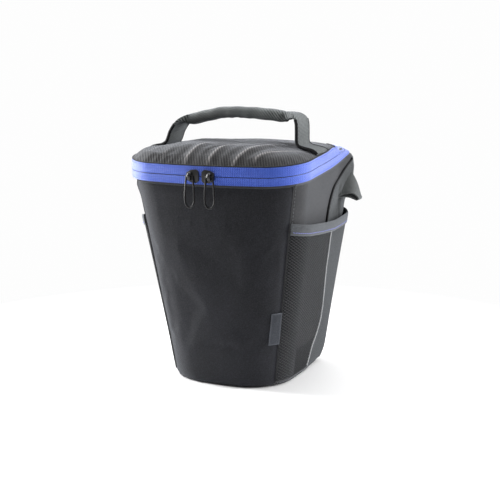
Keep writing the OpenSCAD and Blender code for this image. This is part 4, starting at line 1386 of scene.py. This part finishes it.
        def place(x: float, i: float) -> Vector:
            """Point of the hinge cloth with faint puckers."""
            p = profile[int(round(i))]
            pucker = 0.12 * math.sin(x / 2.9) * math.sin(math.pi * i / (len(profile) - 1))
            return Vector((x, p.y + pucker, p.z + pucker))
        columns, rows = steps(half, -half, 70), [float(i) for i in range(len(profile))]
        piece = cloth("hinge_cloth", columns, rows, place, thick=0.55)
        dress(piece, self.finishes.black)
        line_z, line_y = s.rim_z(s.rim_back) - 0.45, s.rim_back + s.tape_t
        (line_y + 0.9) * MM
        (line_z - 0.9) * MM
        (line_y - 0.9) * MM
        (line_z + 0.9) * MM
        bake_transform(piece)
        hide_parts("hinge_strip_lower", "hinge_strip_upper")
        declare_sheet(piece, columns, rows, place)
        LOG.info("hinge_cloth from bag to lid")


# ---------------------------------------------------------------- pockets
@dataclass
class Pockets:
    """Side pockets: net over a near-black sheet in front, painted shade that stands for the pocket's shaded inside, a
    plain gusset behind and an elastic binding on the mouth.
    """

    finishes: Finishes
    gap: float = 7.0
    cloth_t: float = 0.9
    mouth_z: float = 146.0
    bottom_z: float = 5.0
    end_u: float = 3.45
    binding_h: float = 10.0
    mouth: Table = ((1.6, 13.5), (2.3, 4.5), (2.6, 1.5), (3, 1.5), (3.45, 4.5))
    net_seam: Table = ((0, 12), (0.05, 14.5), (0.14, 18), (0.22, 25), (0.31, 29), (0.41, 27.6), (0.54, 23), (0.69, 17),
                       (0.79, 14.8), (0.9, 11.6), (1, 10))

    def height_t(self, u: float, k: float) -> float:
        """Height share of pocket row k at station u."""
        return lerp(SHAPE.share(self.bottom_z), SHAPE.share(self.mouth_z + lookup(u, self.mouth)), k)

    def stand_off(self, u: float, k: float) -> float:
        """How far the pocket's back stands off the side."""
        arc = max(0.0, math.sin(math.pi * (u - SHAPE.seam_u) / (self.end_u - SHAPE.seam_u)))
        return 0.15 + self.gap * arc ** 0.8 * max(0.0, k) ** 1.3

    def point(self, u: float, k: float, extra: float) -> Vector:
        """Point of the pocket on the right side."""
        return SHAPE.skin_point(u, self.height_t(u, k), self.stand_off(u, k) + extra)

    def seam_line(self, k: float) -> float:
        """Station of the seam between the net and the gusset."""
        return SHAPE.side_u(self.height_t(2.8, k), lookup(k, self.net_seam))

    def net_u(self, c: float, k: float) -> float:
        """Station of share c across the net."""
        return lerp(SHAPE.seam_u, 2, c / 0.28) if c < 0.28 else lerp(2, self.seam_line(k), (c - 0.28) / 0.72)

    def gusset_u(self, c: float, k: float) -> float:
        """Station of share c across the gusset."""
        return lerp(self.seam_line(k), self.end_u, c)

    def slack(self, c: float, k: float) -> float:
        """Soft hollows of the loose pocket cloth."""
        return 0.45 * math.sin(5.2 * c + 3.1 * k) * math.sin(math.pi * clamp01(k)) * math.sin(math.pi * c)

    def build(self) -> None:
        """Builds both pockets."""
        for side, sign in (("right", 1), ("left", -1)):
            self.one(side, sign)

    def one(self, side: str, sign: int) -> None:
        """Builds the pocket of one side."""
        f = self.finishes

        def turned(place: Place) -> Place:
            """The same surface on this side, still facing outwards."""
            return lambda c, k: Vector((sign * place(c, k).x, *place(c, k)[1:]))

        def order(values: list[float]) -> list[float]:
            """Columns in the order that keeps the cloth facing outwards."""
            return values if sign > 0 else values[::-1]
        # Painted shade: a dark sheet just behind the net stands in for the pocket's shaded inside.
        behind = turned(lambda c, k: self.point(self.net_u(c, k), k, 0.45))
        columns, rows = order(steps(0, 1, 34)), steps(0, 1, 46)
        dark = cloth(f"pocket_shade_sheet_{side}", columns, rows, behind, thick=0.4)
        note(dress(dark, f.shade_behind_net), "bag")
        net = join_lattice(f"pocket_net_{side}", 18, 54,
                           turned(lambda c, k: self.point(self.net_u(c if sign > 0 else 1 - c, k), k,
                                                          0.78 + 0.5 * max(0.0, self.slack(c, k)))), 0.5)
        note(dress(net, f.net), "bag", f"pocket_mesh_{side}")
        declare_sheet(dark, columns, rows, behind)
        back = turned(lambda c, k: self.point(self.gusset_u(c, k), k, self.cloth_t + self.slack(c, k) * 0.4
                                              * smooth(c / 0.2)))
        columns = order(steps(0, 1, 26))
        gusset = cloth(f"pocket_gusset_cloth_{side}", columns, rows, back, thick=0.8)
        note(dress(gusset, f.gusset), "bag", f"pocket_gusset_{side}")
        declare_sheet(gusset, columns, rows, back)
        seam = [Vector((sign * p.x, p.y, p.z)) for p in
                (self.point(self.seam_line(k), k, self.cloth_t + 0.15) for k in steps(0.01, 0.95, 60))]
        welt = tube(f"pocket_seam_{side}", seam, lambda k: (0.75, 0.75), 8, (0, 1, 0))
        note(dress(welt, f.welt), "bag")
        row = sew(f"pocket_seam_stitches_{side}", turned(lambda c, h: self.point(
            self.seam_line(lerp(0.02, 0.93, c)) + 0.035, lerp(0.02, 0.93, c), self.cloth_t + h)), 3.0, 2.2, 0.5)
        note(dress(row, f.grey_thread), "bag")
        self.bind(side, sign, turned, order)

    def bind(self, side: str, sign: int, turned: Callable[[Place], Place],
             order: Callable[[list[float]], list[float]]) -> None:
        """The gathered elastic over the mouth, with its row of violet stitches."""
        f = self.finishes
        low = 1 - self.binding_h / (self.mouth_z - self.bottom_z)

        def outer(u: float, r: float) -> Vector:
            """Binding from its lower edge outside, r = 0, over the mouth to the inside, r = 1."""
            k = lookup(r, ((0, low), (0.72, 0.992), (0.86, 1.004), (1, 0.97)))
            stand = lookup(r, ((0, 1.45), (0.08, 1.9), (0.66, 1.95), (0.78, 1.6), (0.86, 0.9), (1, 0.12)))
            rib = 0.1 * math.sin(u * 210) * (1 if r < 0.8 else 0)
            return self.point(u, k, stand + rib)
        columns = order(steps(SHAPE.seam_u, self.end_u, 150))
        rows = [0.0, 0.04, 0.08, 0.2, 0.35, 0.5, 0.62, 0.7, 0.76, 0.82, 0.86, 0.92, 1.0]
        band = cloth(f"pocket_edge_{side}", columns, rows, turned(outer), thick=0.5, degrees=60)
        note(dress(band, f.binding), "bag", f"pocket_binding_{side}")
        height = low + 2.7 / (self.mouth_z - self.bottom_z)
        row = sew(f"pocket_edge_stitches_{side}", turned(lambda c, h: self.point(
            lerp(SHAPE.seam_u + 0.03, self.end_u - 0.03, c), height, 1.95 + h)), 2.6, 2.1, 0.62, zigzag=16)
        note(dress(row, f.violet_thread), "bag")


# ---------------------------------------------------------------- wings, ears, belt loop and label
@dataclass
class Fittings:
    """Rear wings with their piping, shoulder-strap ears, belt loop and the bare label tab."""

    finishes: Finishes
    tub: Tub
    piping_r: float = 1.1
    ear_drop: float = 41.0
    ear_reach: float = 19.5
    ear_t: float = 1.2
    loop_w: float = 56.0
    loop_len: float = 96.0
    loop_t: float = 2.4
    loop_gap: float = 6.0
    loop_z: float = 78.0
    label_w: float = 10.0
    label_len: float = 31.0
    label_z: float = 42.0
    piping: Table = ((13.5, 148), (14.4, 162), (17.6, 171), (22.5, 177.5), (34, 183.2), (44, 190), (50, 193.2),
                     (55, 195))

    def build(self) -> None:
        """Builds the fittings of both sides, then those of the back and front."""
        for side, sign in (("right", 1), ("left", -1)):
            self.pipe(side, sign)
            self.wing(side, sign)
            self.ear(side, sign)
        self.belt_loop()
        self.label()

    @staticmethod
    def on_side(y: float, z: float, out: float, sign: int) -> Vector:
        """Point out from the side at a depth and height."""
        t = SHAPE.share(z)
        p = SHAPE.skin_point(SHAPE.side_u(t, y), t, out)
        return Vector((sign * p.x, p.y, p.z))

    def pipe(self, side: str, sign: int) -> None:
        """Piping from inside the pocket up to the zip band."""
        points = [(13.0, 141.0)] + list(self.piping)
        path = rounded_path([self.on_side(y, z, self.piping_r * 0.75, sign) for y, z in points], 8)
        cord = tube(f"wing_piping_{side}", path, lambda k: (self.piping_r, self.piping_r), 10, (1, 0, 0))
        note(dress(cord, self.finishes.black), "bag", f"piping_{side}")

    def wing(self, side: str, sign: int) -> None:
        """The rear side panel that starts behind the piping."""
        s = SHAPE
        back = 1.3 * self.piping_r
        low_t = s.share(156)
        edge = s.rim_h * s.t_ledge_low - 1
        tops = [(s.side_u(low_t, y + back), z - 0.5 * back) for y, z in self.piping] + [(3.48, edge)]
        u0, u1 = s.side_u(low_t, self.piping[0][0] + back), 3.48

        def place(c: float, k: float) -> Vector:
            """Point of the wing for shares along and up it."""
            u = lerp(u0, u1, c)
            low = lerp(143, 157, smooth((u - 3.05) / 0.3))
            z = lerp(low, min(edge, max(low + 4, lookup(u, tops))), k)
            y = s.skin_point(u, s.share(z), 0).y
            crease = (y - lerp(46.6, 35.0, clamp01((z - 143.7) / 27.0)))
            swell = 0.8 * math.sin(math.pi * k) * math.sin(math.pi * c) * smooth((z - 158) / 10) \
                + (0.9 * hump(crease - 3.2, 2.6) - 0.7 * hump(crease, 1.1)) * (1 - smooth((z - 172) / 6))
            p = s.skin_point(u, s.share(z), 0.88 + swell)
            return Vector((sign * p.x, p.y, p.z))
        columns, rows = steps(0, 1, 44) if sign > 0 else steps(1, 0, 44), steps(0, 1, 30)
        piece = cloth(f"wing_cloth_{side}", columns, rows, place, thick=0.75)
        note(dress(piece, self.finishes.wing), "bag", f"rear_wing_{side}")
        declare_sheet(piece, columns, rows, place)

        def line(c: float, h: float) -> Vector:
            """A row of stitches beside the piping."""
            k = lerp(0.12, 0.86, c)
            y, z = lookup(k, tuple((i / 7, q[0]) for i, q in enumerate(self.piping))), \
                lookup(k, tuple((i / 7, q[1]) for i, q in enumerate(self.piping)))
            return self.on_side(y + 2.8, z - 2.2, 0.95 + h, sign)
        note(dress(sew(f"wing_stitches_{side}", line, 3.0, 2.3, 0.45), self.finishes.dark_thread),
             "bag")

    def ear(self, side: str, sign: int) -> None:
        """Cloth folded into a tunnel for the shoulder strap, drooping from the rear of the side."""
        root = Vector((84.6, 46.5, 180.5))
        wide_way, tip_way = Vector((5, 21, 25)).normalized(), Vector((0, 1, 0))
        mid_r, reach = 1.7, self.ear_reach
        bend = [(-0.8, 0.0), (4, 1.3), (9, 1.6), (13, 0.9), (reach - 3.0, -0.4)]
        tip = [(reach - mid_r + mid_r * math.sin(q), -0.8 - mid_r + mid_r * math.cos(q))
               for q in (math.radians(d) for d in range(30, 180, 25))]
        under = [(reach - 4.0, -4.3), (13, -4.0), (9, -3.3), (4, -2.6), (-0.8, -2.4)]
        flat = rounded_path([(x, 0, y) for x, y in bend + tip + under], 5)
        a = math.radians(self.ear_drop)
        out_way, up_way = Vector((math.cos(a), 0, -math.sin(a))), Vector((math.sin(a), 0, math.cos(a)))

        def place(i: float, y: float) -> Vector:
            """Point of the folded cloth, wide along its slanting root and narrow at its tip."""
            p = flat[int(round(i))]
            far = clamp01(p.x / reach)
            way = wide_way.lerp(tip_way, smooth(far)).normalized()
            half = lerp(31.0, 9.0, far ** 0.6)
            bow = (1 - (2 * y) ** 2) * 1.1 * (1 - far) * (1 if i < len(flat) / 2 else 0.2)
            q = root + out_way * p.x + up_way * (p.z + bow) + way * (y * half) + Vector((0, 3.5 * far, 0))
            return self.mirror(q, sign)
        columns = [float(i) for i in range(len(flat))]
        if sign > 0:
            columns = columns[::-1]
        ear = cloth(f"ear_cloth_{side}", columns, steps(-0.5, 0.5, 18), place)
        apply_modifier(ear, "SOLIDIFY", thickness=self.ear_t * MM, offset=0.0)
        soft_shade(ear, 50)
        note(dress(ear, self.finishes.ear), "bag", f"strap_ear_{side}")
        row_at = float(min(range(len(flat) // 2), key=lambda i: abs(flat[i].x - reach + 6.5)))
        row = sew(f"ear_stitches_{side}", lambda c, h: place(row_at, lerp(-0.44, 0.44, c))
                  + self.mirror(up_way, sign) * (self.ear_t / 2 + h), 2.6, 2.0, 0.5)
        note(dress(row, self.finishes.grey_thread), "bag")

    @staticmethod
    def mirror(p: Vector, sign: int) -> Vector:
        """The point on the side of sign."""
        return Vector((sign * p.x, p.y, p.z))

    def belt_loop(self) -> None:
        """Wide webbing sewn down at both ends on the back."""
        s = SHAPE
        y0, t, n = s.back_y, self.loop_t, self.loop_len
        g = self.loop_gap + t / 2
        profile = rounded_path([(0, y0 + t / 2, self.loop_z + z) if near else (0, y0 + g, self.loop_z + z)
                                for z, near in ((0, True), (6, True), (12, True), (20, False), (n / 2, False),
                                                (n - 20, False), (n - 12, True), (n - 6, True), (n, True))], 6)

        def half(k: float) -> tuple[float, float]:
            """Half width and half thickness of the webbing."""
            return self.loop_w / 2, t / 2 - 0.05
        loop = tube("belt_loop_webbing", profile, half, 44, (1, 0, 0), square=14)
        note(dress(loop, self.finishes.strap), "bag", "belt_loop")
        w = self.loop_w / 2 - 3
        for end, z0, z1 in (("low", 2.0, 10.0), ("high", n - 10.0, n - 2.0)):
            corners = [(-w, z0), (w, z0), (w, z1), (-w, z1), (-w, z0), (w, z1), (w, z0), (-w, z1)]

            def line(c: float, h: float, corners: list[tuple[float, float]] = corners) -> Vector:
                """Box with a cross, sewn through the webbing."""
                i = min(len(corners) - 2, int(c * (len(corners) - 1)))
                f = c * (len(corners) - 1) - i
                x, z = lerp(corners[i][0], corners[i + 1][0], f), lerp(corners[i][1], corners[i + 1][1], f)
                return Vector((x, y0 + t + h, self.loop_z + z))
            note(dress(sew(f"belt_loop_stitches_{end}", line, 3.0, 2.3, 0.5), self.finishes.grey_thread), "bag")

    def label(self) -> None:
        """The folded bare tab in the front right seam."""
        s = SHAPE
        u0, u1 = s.seam_u - self.label_w / 54, s.seam_u - 0.004

        def place(u: float, z: float) -> Vector:
            """Outer face of the tab, lying on the front cloth."""
            t = s.share(z)
            lift = 0.35 * smooth((u1 - u) / (u1 - u0))
            return s.wall(u, t, -max(0.0, self.tub.front_relief(u, t)) - 1.1 - lift)
        columns, rows = steps(u0, u1, 12), steps(self.label_z, self.label_z + self.label_len, 24)
        tab = cloth("label_cloth", columns, rows, place, thick=0.9, edge=0.9)
        apply_modifier(tab, "BEVEL", width=0.25 * MM, segments=2, limit_method="ANGLE", angle_limit=1.0)
        note(dress(tab, self.finishes.label), "bag", "label_tab")
        declare_sheet(tab, columns, rows, place)


# ---------------------------------------------------------------- handle
@dataclass
class Handle:
    """Carrying handle: ribbed webbing that runs from the lid's edges up into a rolled, padded grip."""

    finishes: Finishes
    y: float = -17.0
    grip_half: float = 50.0
    grip_w: float = 14.0
    grip_h: float = 11.0
    grip_gap: float = 21.5
    arch: float = 3.2
    droop: float = 4.2
    strap_w: float = 29.0

    def middle(self, k: float) -> float:
        """Height of the grip's middle line, k from -1 to 1."""
        low_left = self.droop * smooth((-k - 0.15) / 0.85)
        return SHAPE.crown_z + self.grip_gap + 0.6 + self.grip_h / 2 - self.arch * k * k - low_left

    def build(self) -> None:
        """Builds both legs and the grip."""
        self.grip()
        for side, sign in (("right", 1), ("left", -1)):
            self.leg(side, sign)

    def lid_z(self, x: float, out: float) -> Vector:
        """Point over the lid under the handle, out from the lid's cover."""
        s = SHAPE
        best, u = None, s.side_u(1, self.y)
        for k in steps(1.0, 0.6, 80):
            p = s.lid_crown(u, k, 0)
            if best is None or abs(p.x - x) < abs(best.x - x):
                best = p
        return Vector((x, self.y, best.z + out))

    def bend(self, piece: Mesh) -> None:
        """Bakes a piece's placement into its mesh."""
        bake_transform(piece)

    def leg(self, side: str, sign: int) -> None:
        """Webbing that lies on the lid, turns up and narrows into the grip."""
        top = self.middle(sign)
        sink = 0.0 if sign > 0 else 0.9
        turn = [(65.4, 232.5), (65.0, top - 5.0), (63.4, top - 1.0), (60.0, top + 1.5), (55.5, top + 1.5),
                (50.0, top + 0.9)] if sign > 0 else \
            [(63.4, 229.5), (60.6, 234.0), (57.4, 238.2), (54.2, 240.8), (51.0, 241.8), (48.0, 242.1)]
        points = [self.lid_z(85.6, -0.6 - sink), self.lid_z(82, 1.0 - sink), self.lid_z(77, 1.1 - sink),
                  self.lid_z(72, 1.1 - sink), Vector((67.6, 0, self.lid_z(67.3, 1.4).z + 0.5)),
                  Vector((65.6, 0, self.lid_z(65, 5.0).z))] \
            + [Vector((x, 0, z)) for x, z in turn] + [Vector((44, 0, self.middle(0.88 * sign)))]
        path = [Vector((sign * p.x, self.y, p.z)) for p in rounded_path(points, 7)]

        def half(k: float) -> tuple[float, float]:
            """Flat webbing that folds together as it enters the grip."""
            roll = smooth((k - 0.68) / 0.24)
            root = 1 - smooth(k / 0.3)
            return lerp(self.strap_w / 2 + 0.6 * root, self.grip_w / 2 - 1.0, roll), lerp(1.3, self.grip_h / 2 - 1.6,
                                                                                     roll)
        leg = tube(f"handle_leg_{side}", path, half, 40, (0, 1, 0), square=7.0,
                   relief=lambda k, a: 0.12 * math.sin(40 * a) * smooth((k - 0.55) / 0.2))
        dress(leg, self.finishes.webbing)
        self.bend(leg)
        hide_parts(f"handle_tab_{side}", "handle_strap")
        LOG.info("handle_leg_%s from lid to handle", side)
        for name, edge in (("front", -1), ("rear", 1)):
            n = len(path) - 1
            rim = [path[i] + Vector((0, edge * (half(i / n)[0] - 0.5), 0)) for i in range(0, int(n * 0.66))]
            cord = tube(f"handle_leg_{side}_{name}_edge", rim, lambda k: (0.8, 1.55), 8, (0, 1, 0))
            dress(cord, self.finishes.black)
            self.bend(cord)

    def grip(self) -> None:
        """The rolled cover of the padded grip, with its sewn edge and tucked ends."""
        g = self.grip_half + 1.0
        path = [Vector((x, self.y, self.middle(x / self.grip_half))) for x in steps(-g, g, 120)]

        def half(k: float) -> tuple[float, float]:
            """Half depth and half height, drawn in at both ends."""
            e = min(k, 1 - k) * 2 * g
            full = lerp(0.84, 1.0, smooth(e / 7))
            return self.grip_w / 2 * full, self.grip_h / 2 * full

        def relief(k: float, a: float) -> float:
            """Puckers along the sewn underside and a slack twist."""
            under = max(0.0, -math.sin(2 * math.pi * a + 0.5))
            lump = hump(k - 0.5, 0.17) * abs(math.sin(k * math.pi * 11)) ** 0.6
            return -0.2 * under - 0.75 * under * lump + 0.16 * math.sin(k * 37 + 6 * a)
        grip = tube("grip_cover", path, half, 40, (0, 1, 0), square=2.4, relief=relief)
        note(dress(grip, self.finishes.webbing), "handle", "handle_grip", "handle_core")

        def line(c: float, h: float, low: float = -0.62) -> Vector:
            """Sewing along the front of the grip, low down."""
            k = lerp(0.05, 0.95, c)
            w, t = half(k)
            x = lerp(-g, g, k)
            return Vector((x, self.y - (w + h) * math.cos(math.asin(-low) * 0.9),
                           self.middle(x / self.grip_half) + (t + h) * low))
        row = sew("grip_stitches", line, 3.1, 2.4, 0.6)
        note(dress(row, self.finishes.dark_thread), "handle")


# ---------------------------------------------------------------- sliders
@dataclass
class Sliders:
    """Two zip sliders with their wire pulls."""

    finishes: Finishes
    slider_x: float = 7.4
    plate_out: float = 1.2
    plate_t: float = 1.6
    pull_len: float = 27.6
    pull_w: float = 9.0
    wire_d: float = 1.7
    pivot: float = 4.1
    aside: float = 2.2

    def at(self, side: int) -> Matrix:
        """Placement of a slider on the curve of the zip line."""
        s = SHAPE
        y = s.rim_bow - s.rim_front
        centre = Vector((0, y, s.rim_z(y)))
        turn = side * math.asin(self.slider_x / s.rim_bow)
        spin = Matrix.Rotation(turn, 4, Vector((0, -s.slope, 1)))
        home = Vector((0, -s.rim_front, s.rim_z(-s.rim_front)))
        return Matrix.Translation(centre) @ spin @ Matrix.Translation(home - centre)

    def build(self) -> None:
        """Builds both sliders and pulls."""
        for name, side in (("right", 1), ("left", -1)):
            self.body(name, side)
            self.pull(name, side)

    def body(self, name: str, side: int) -> None:
        """Crowned plate with a broad nose, and a bridge over the wire."""
        place = self.at(side)
        out, half = self.plate_out, self.plate_t / 2
        bpy.ops.object.select_all(action="DESELECT")
        bpy.ops.mesh.primitive_cube_add(size=2)
        plate = bpy.context.active_object
        bpy.ops.object.mode_set(mode="EDIT")
        bpy.ops.mesh.subdivide(number_cuts=7)
        bpy.ops.object.mode_set(mode="OBJECT")
        profile = ((-1, 3.9), (-0.8, 5.2), (-0.55, 6.0), (0.2, 5.6), (0.75, 4.0), (1, 3.1))
        for v in plate.data.vertices:
            x, y, z = v.co
            h = lookup(x, profile)
            crown = 0.55 * (1 - z * z) * (1 - x * x * 0.8)
            flare = 0.35 * max(0.0, z) * (1 if y > 0 else 0)
            v.co = Vector((side * x * 6, -(out + half) + y * half - (crown if y < 0 else 0) - flare, z * h))
        bpy.ops.object.mode_set(mode="EDIT")
        bpy.ops.mesh.select_all(action="SELECT")
        bpy.ops.mesh.normals_make_consistent(inside=False)
        bpy.ops.object.mode_set(mode="OBJECT")
        apply_modifier(plate, "BEVEL", width=0.45, segments=3, limit_method="ANGLE", angle_limit=0.9)
        bpy.ops.object.select_all(action="DESELECT")
        bpy.ops.mesh.primitive_torus_add(major_radius=2.3, minor_radius=0.75, major_segments=36,
                                         minor_segments=14, rotation=(0, math.pi / 2, 0))
        bridge = bpy.context.active_object
        bpy.ops.object.transform_apply(location=True, rotation=True, scale=True)
        for v in bridge.data.vertices:
            v.co = Vector((v.co.x * 2.1 + side * self.aside, v.co.y * 1.0 - self.pivot + 0.2, v.co.z * 1.25))
        bpy.ops.object.select_all(action="DESELECT")
        plate.select_set(True)
        bridge.select_set(True)
        bpy.context.view_layer.objects.active = plate
        bpy.ops.object.join()
        plate.name = plate.data.name = f"slider_body_{name}"
        for v in plate.data.vertices:
            v.co = (place @ v.co) * MM
        soft_shade(plate, 45)
        note(dress(plate, self.finishes.enamel), f"slider_{name}", f"slider_{name}")

    def pull(self, name: str, side: int) -> None:
        """Wire bent to a loop: crossbar in the slider, spreading legs and a pointed end."""
        n, w, length = 3.2, self.pull_w / 2, self.pull_len
        right = [(n - 0.9, 0.0), (n - 0.1, -0.25), (n + 0.1, -1.4), (w - 0.5, -length * 0.3), (w, -length * 0.6),
                 (w, -length * 0.78), (w * 0.8, -length * 0.9), (w * 0.35, -length * 0.985)]
        loop = right + [(-x, z) for x, z in right[::-1]]
        place = self.at(side)
        path = rounded_path([place @ Vector((x + side * self.aside, -self.pivot, z)) for x, z in loop], 6, closed=True)
        wire = tube(f"pull_wire_{name}", path, lambda k: (self.wire_d / 2, self.wire_d / 2), 12,
                    place.to_3x3() @ Vector((0, 1, 0)), closed=True)
        note(dress(wire, self.finishes.wire), f"pull_{name}", f"zip_pull_{name}")


# ---------------------------------------------------------------- studio
@dataclass
class Studio:
    """Pale floor, soft lights and the camera."""

    eye: tuple[float, float, float] = (0.4226, -0.8964, 0.2881)
    aim: tuple[float, float, float] = (0.00552, 0.0001, 0.11725)
    lens: float = 75.44
    ambient: float = 0.3

    def build(self) -> None:
        """Builds the whole studio."""
        self.floor()
        self.light("key_left", (-1.0, -0.1, 0.45), (-0.05, -0.03, 0.13), (0.4, 0.9), 32.0)
        self.light("fill_right", (1.0, 0.45, 0.5), (0.07, 0.03, 0.13), (0.5, 0.9), 19.0)
        self.light("overhead", (0.0, 0.25, 1.3), (0, 0, 0.1), (1.6, 1.4), 15.0)
        world = bpy.data.worlds.new("studio white")
        bpy.context.scene.world = world
        world.use_nodes = True
        tree = world.node_tree
        seen = tree.nodes.new("ShaderNodeLightPath")
        power = tree.nodes.new("ShaderNodeMapRange")
        power.inputs["To Min"].default_value, power.inputs["To Max"].default_value = self.ambient, 0.985
        tree.links.new(seen.outputs["Is Camera Ray"], power.inputs["Value"])
        background = tree.nodes["Background"]
        background.inputs["Color"].default_value = (1, 1, 1, 1)
        tree.links.new(power.outputs[0], background.inputs["Strength"])
        bpy.context.scene.view_settings.view_transform = "Standard"
        camera = bpy.data.objects.new("camera", bpy.data.cameras.new("camera"))
        bpy.context.collection.objects.link(camera)
        camera.data.lens, camera.data.sensor_width = self.lens, 36
        camera.location = self.eye
        camera.rotation_mode = "QUATERNION"
        camera.rotation_quaternion = (Vector(self.aim) - Vector(self.eye)).to_track_quat("-Z", "Y")
        bpy.context.scene.camera = camera

    def floor(self) -> None:
        """A sheet of pale paper on the table."""
        bpy.ops.object.select_all(action="DESELECT")
        bpy.ops.mesh.primitive_plane_add(size=8, location=(0, 0, -0.0004))
        floor = bpy.context.active_object
        floor.name = "floor"
        bench = Bench("studio paper")
        grain = bench.grain(300, 3)
        colour = bench.mix(grain, (0.93, 0.93, 0.935), (0.96, 0.96, 0.96))
        spot = bench.node("ShaderNodeTexCoord", out="Object")
        far = bench.node("ShaderNodeVectorMath", {"operation": "LENGTH"}, {0: spot}, out="Value")
        paper = bench.node("ShaderNodeBsdfPrincipled", {}, {"Base Color": colour, "Roughness": grain * 0.1 + 0.4})
        glow = bench.node("ShaderNodeEmission", {}, {"Color": (0.985, 0.985, 0.985), "Strength": 1.0})
        bench.node_output(bench.node("ShaderNodeMixShader", {}, {0: far.over(0.16, 0.42), 1: paper, 2: glow}))
        floor.data.materials.append(bench.material)

    @staticmethod
    def light(name: str, at: Sequence[float], aim: Sequence[float], size: tuple[float, float],
              watts: float) -> None:
        """A soft box that faces a point."""
        data = bpy.data.lights.new(name, "AREA")
        data.shape, data.size, data.size_y, data.energy = "RECTANGLE", size[0], size[1], watts
        lamp = bpy.data.objects.new(name, data)
        bpy.context.collection.objects.link(lamp)
        lamp.location = at
        lamp.rotation_mode = "QUATERNION"
        lamp.rotation_quaternion = (Vector(aim) - Vector(at)).to_track_quat("-Z", "Y")


def main() -> None:
    """Builds the sub-assemblies in order."""
    logging.basicConfig(level=logging.INFO, format="%(name)s: %(message)s")
    Studio().build()
    finishes = Finishes()
    tub, lid = Tub(finishes), Lid(finishes)
    settle(tub.build() + lid.build())
    tub.finish()
    lid.finish()
    ZipBand(finishes).build()
    Pockets(finishes).build()
    Fittings(finishes, tub).build()
    Handle(finishes).build()
    Sliders(finishes).build()
    bpy.ops.object.select_all(action="DESELECT")


if __name__ == "__main__":
    main()
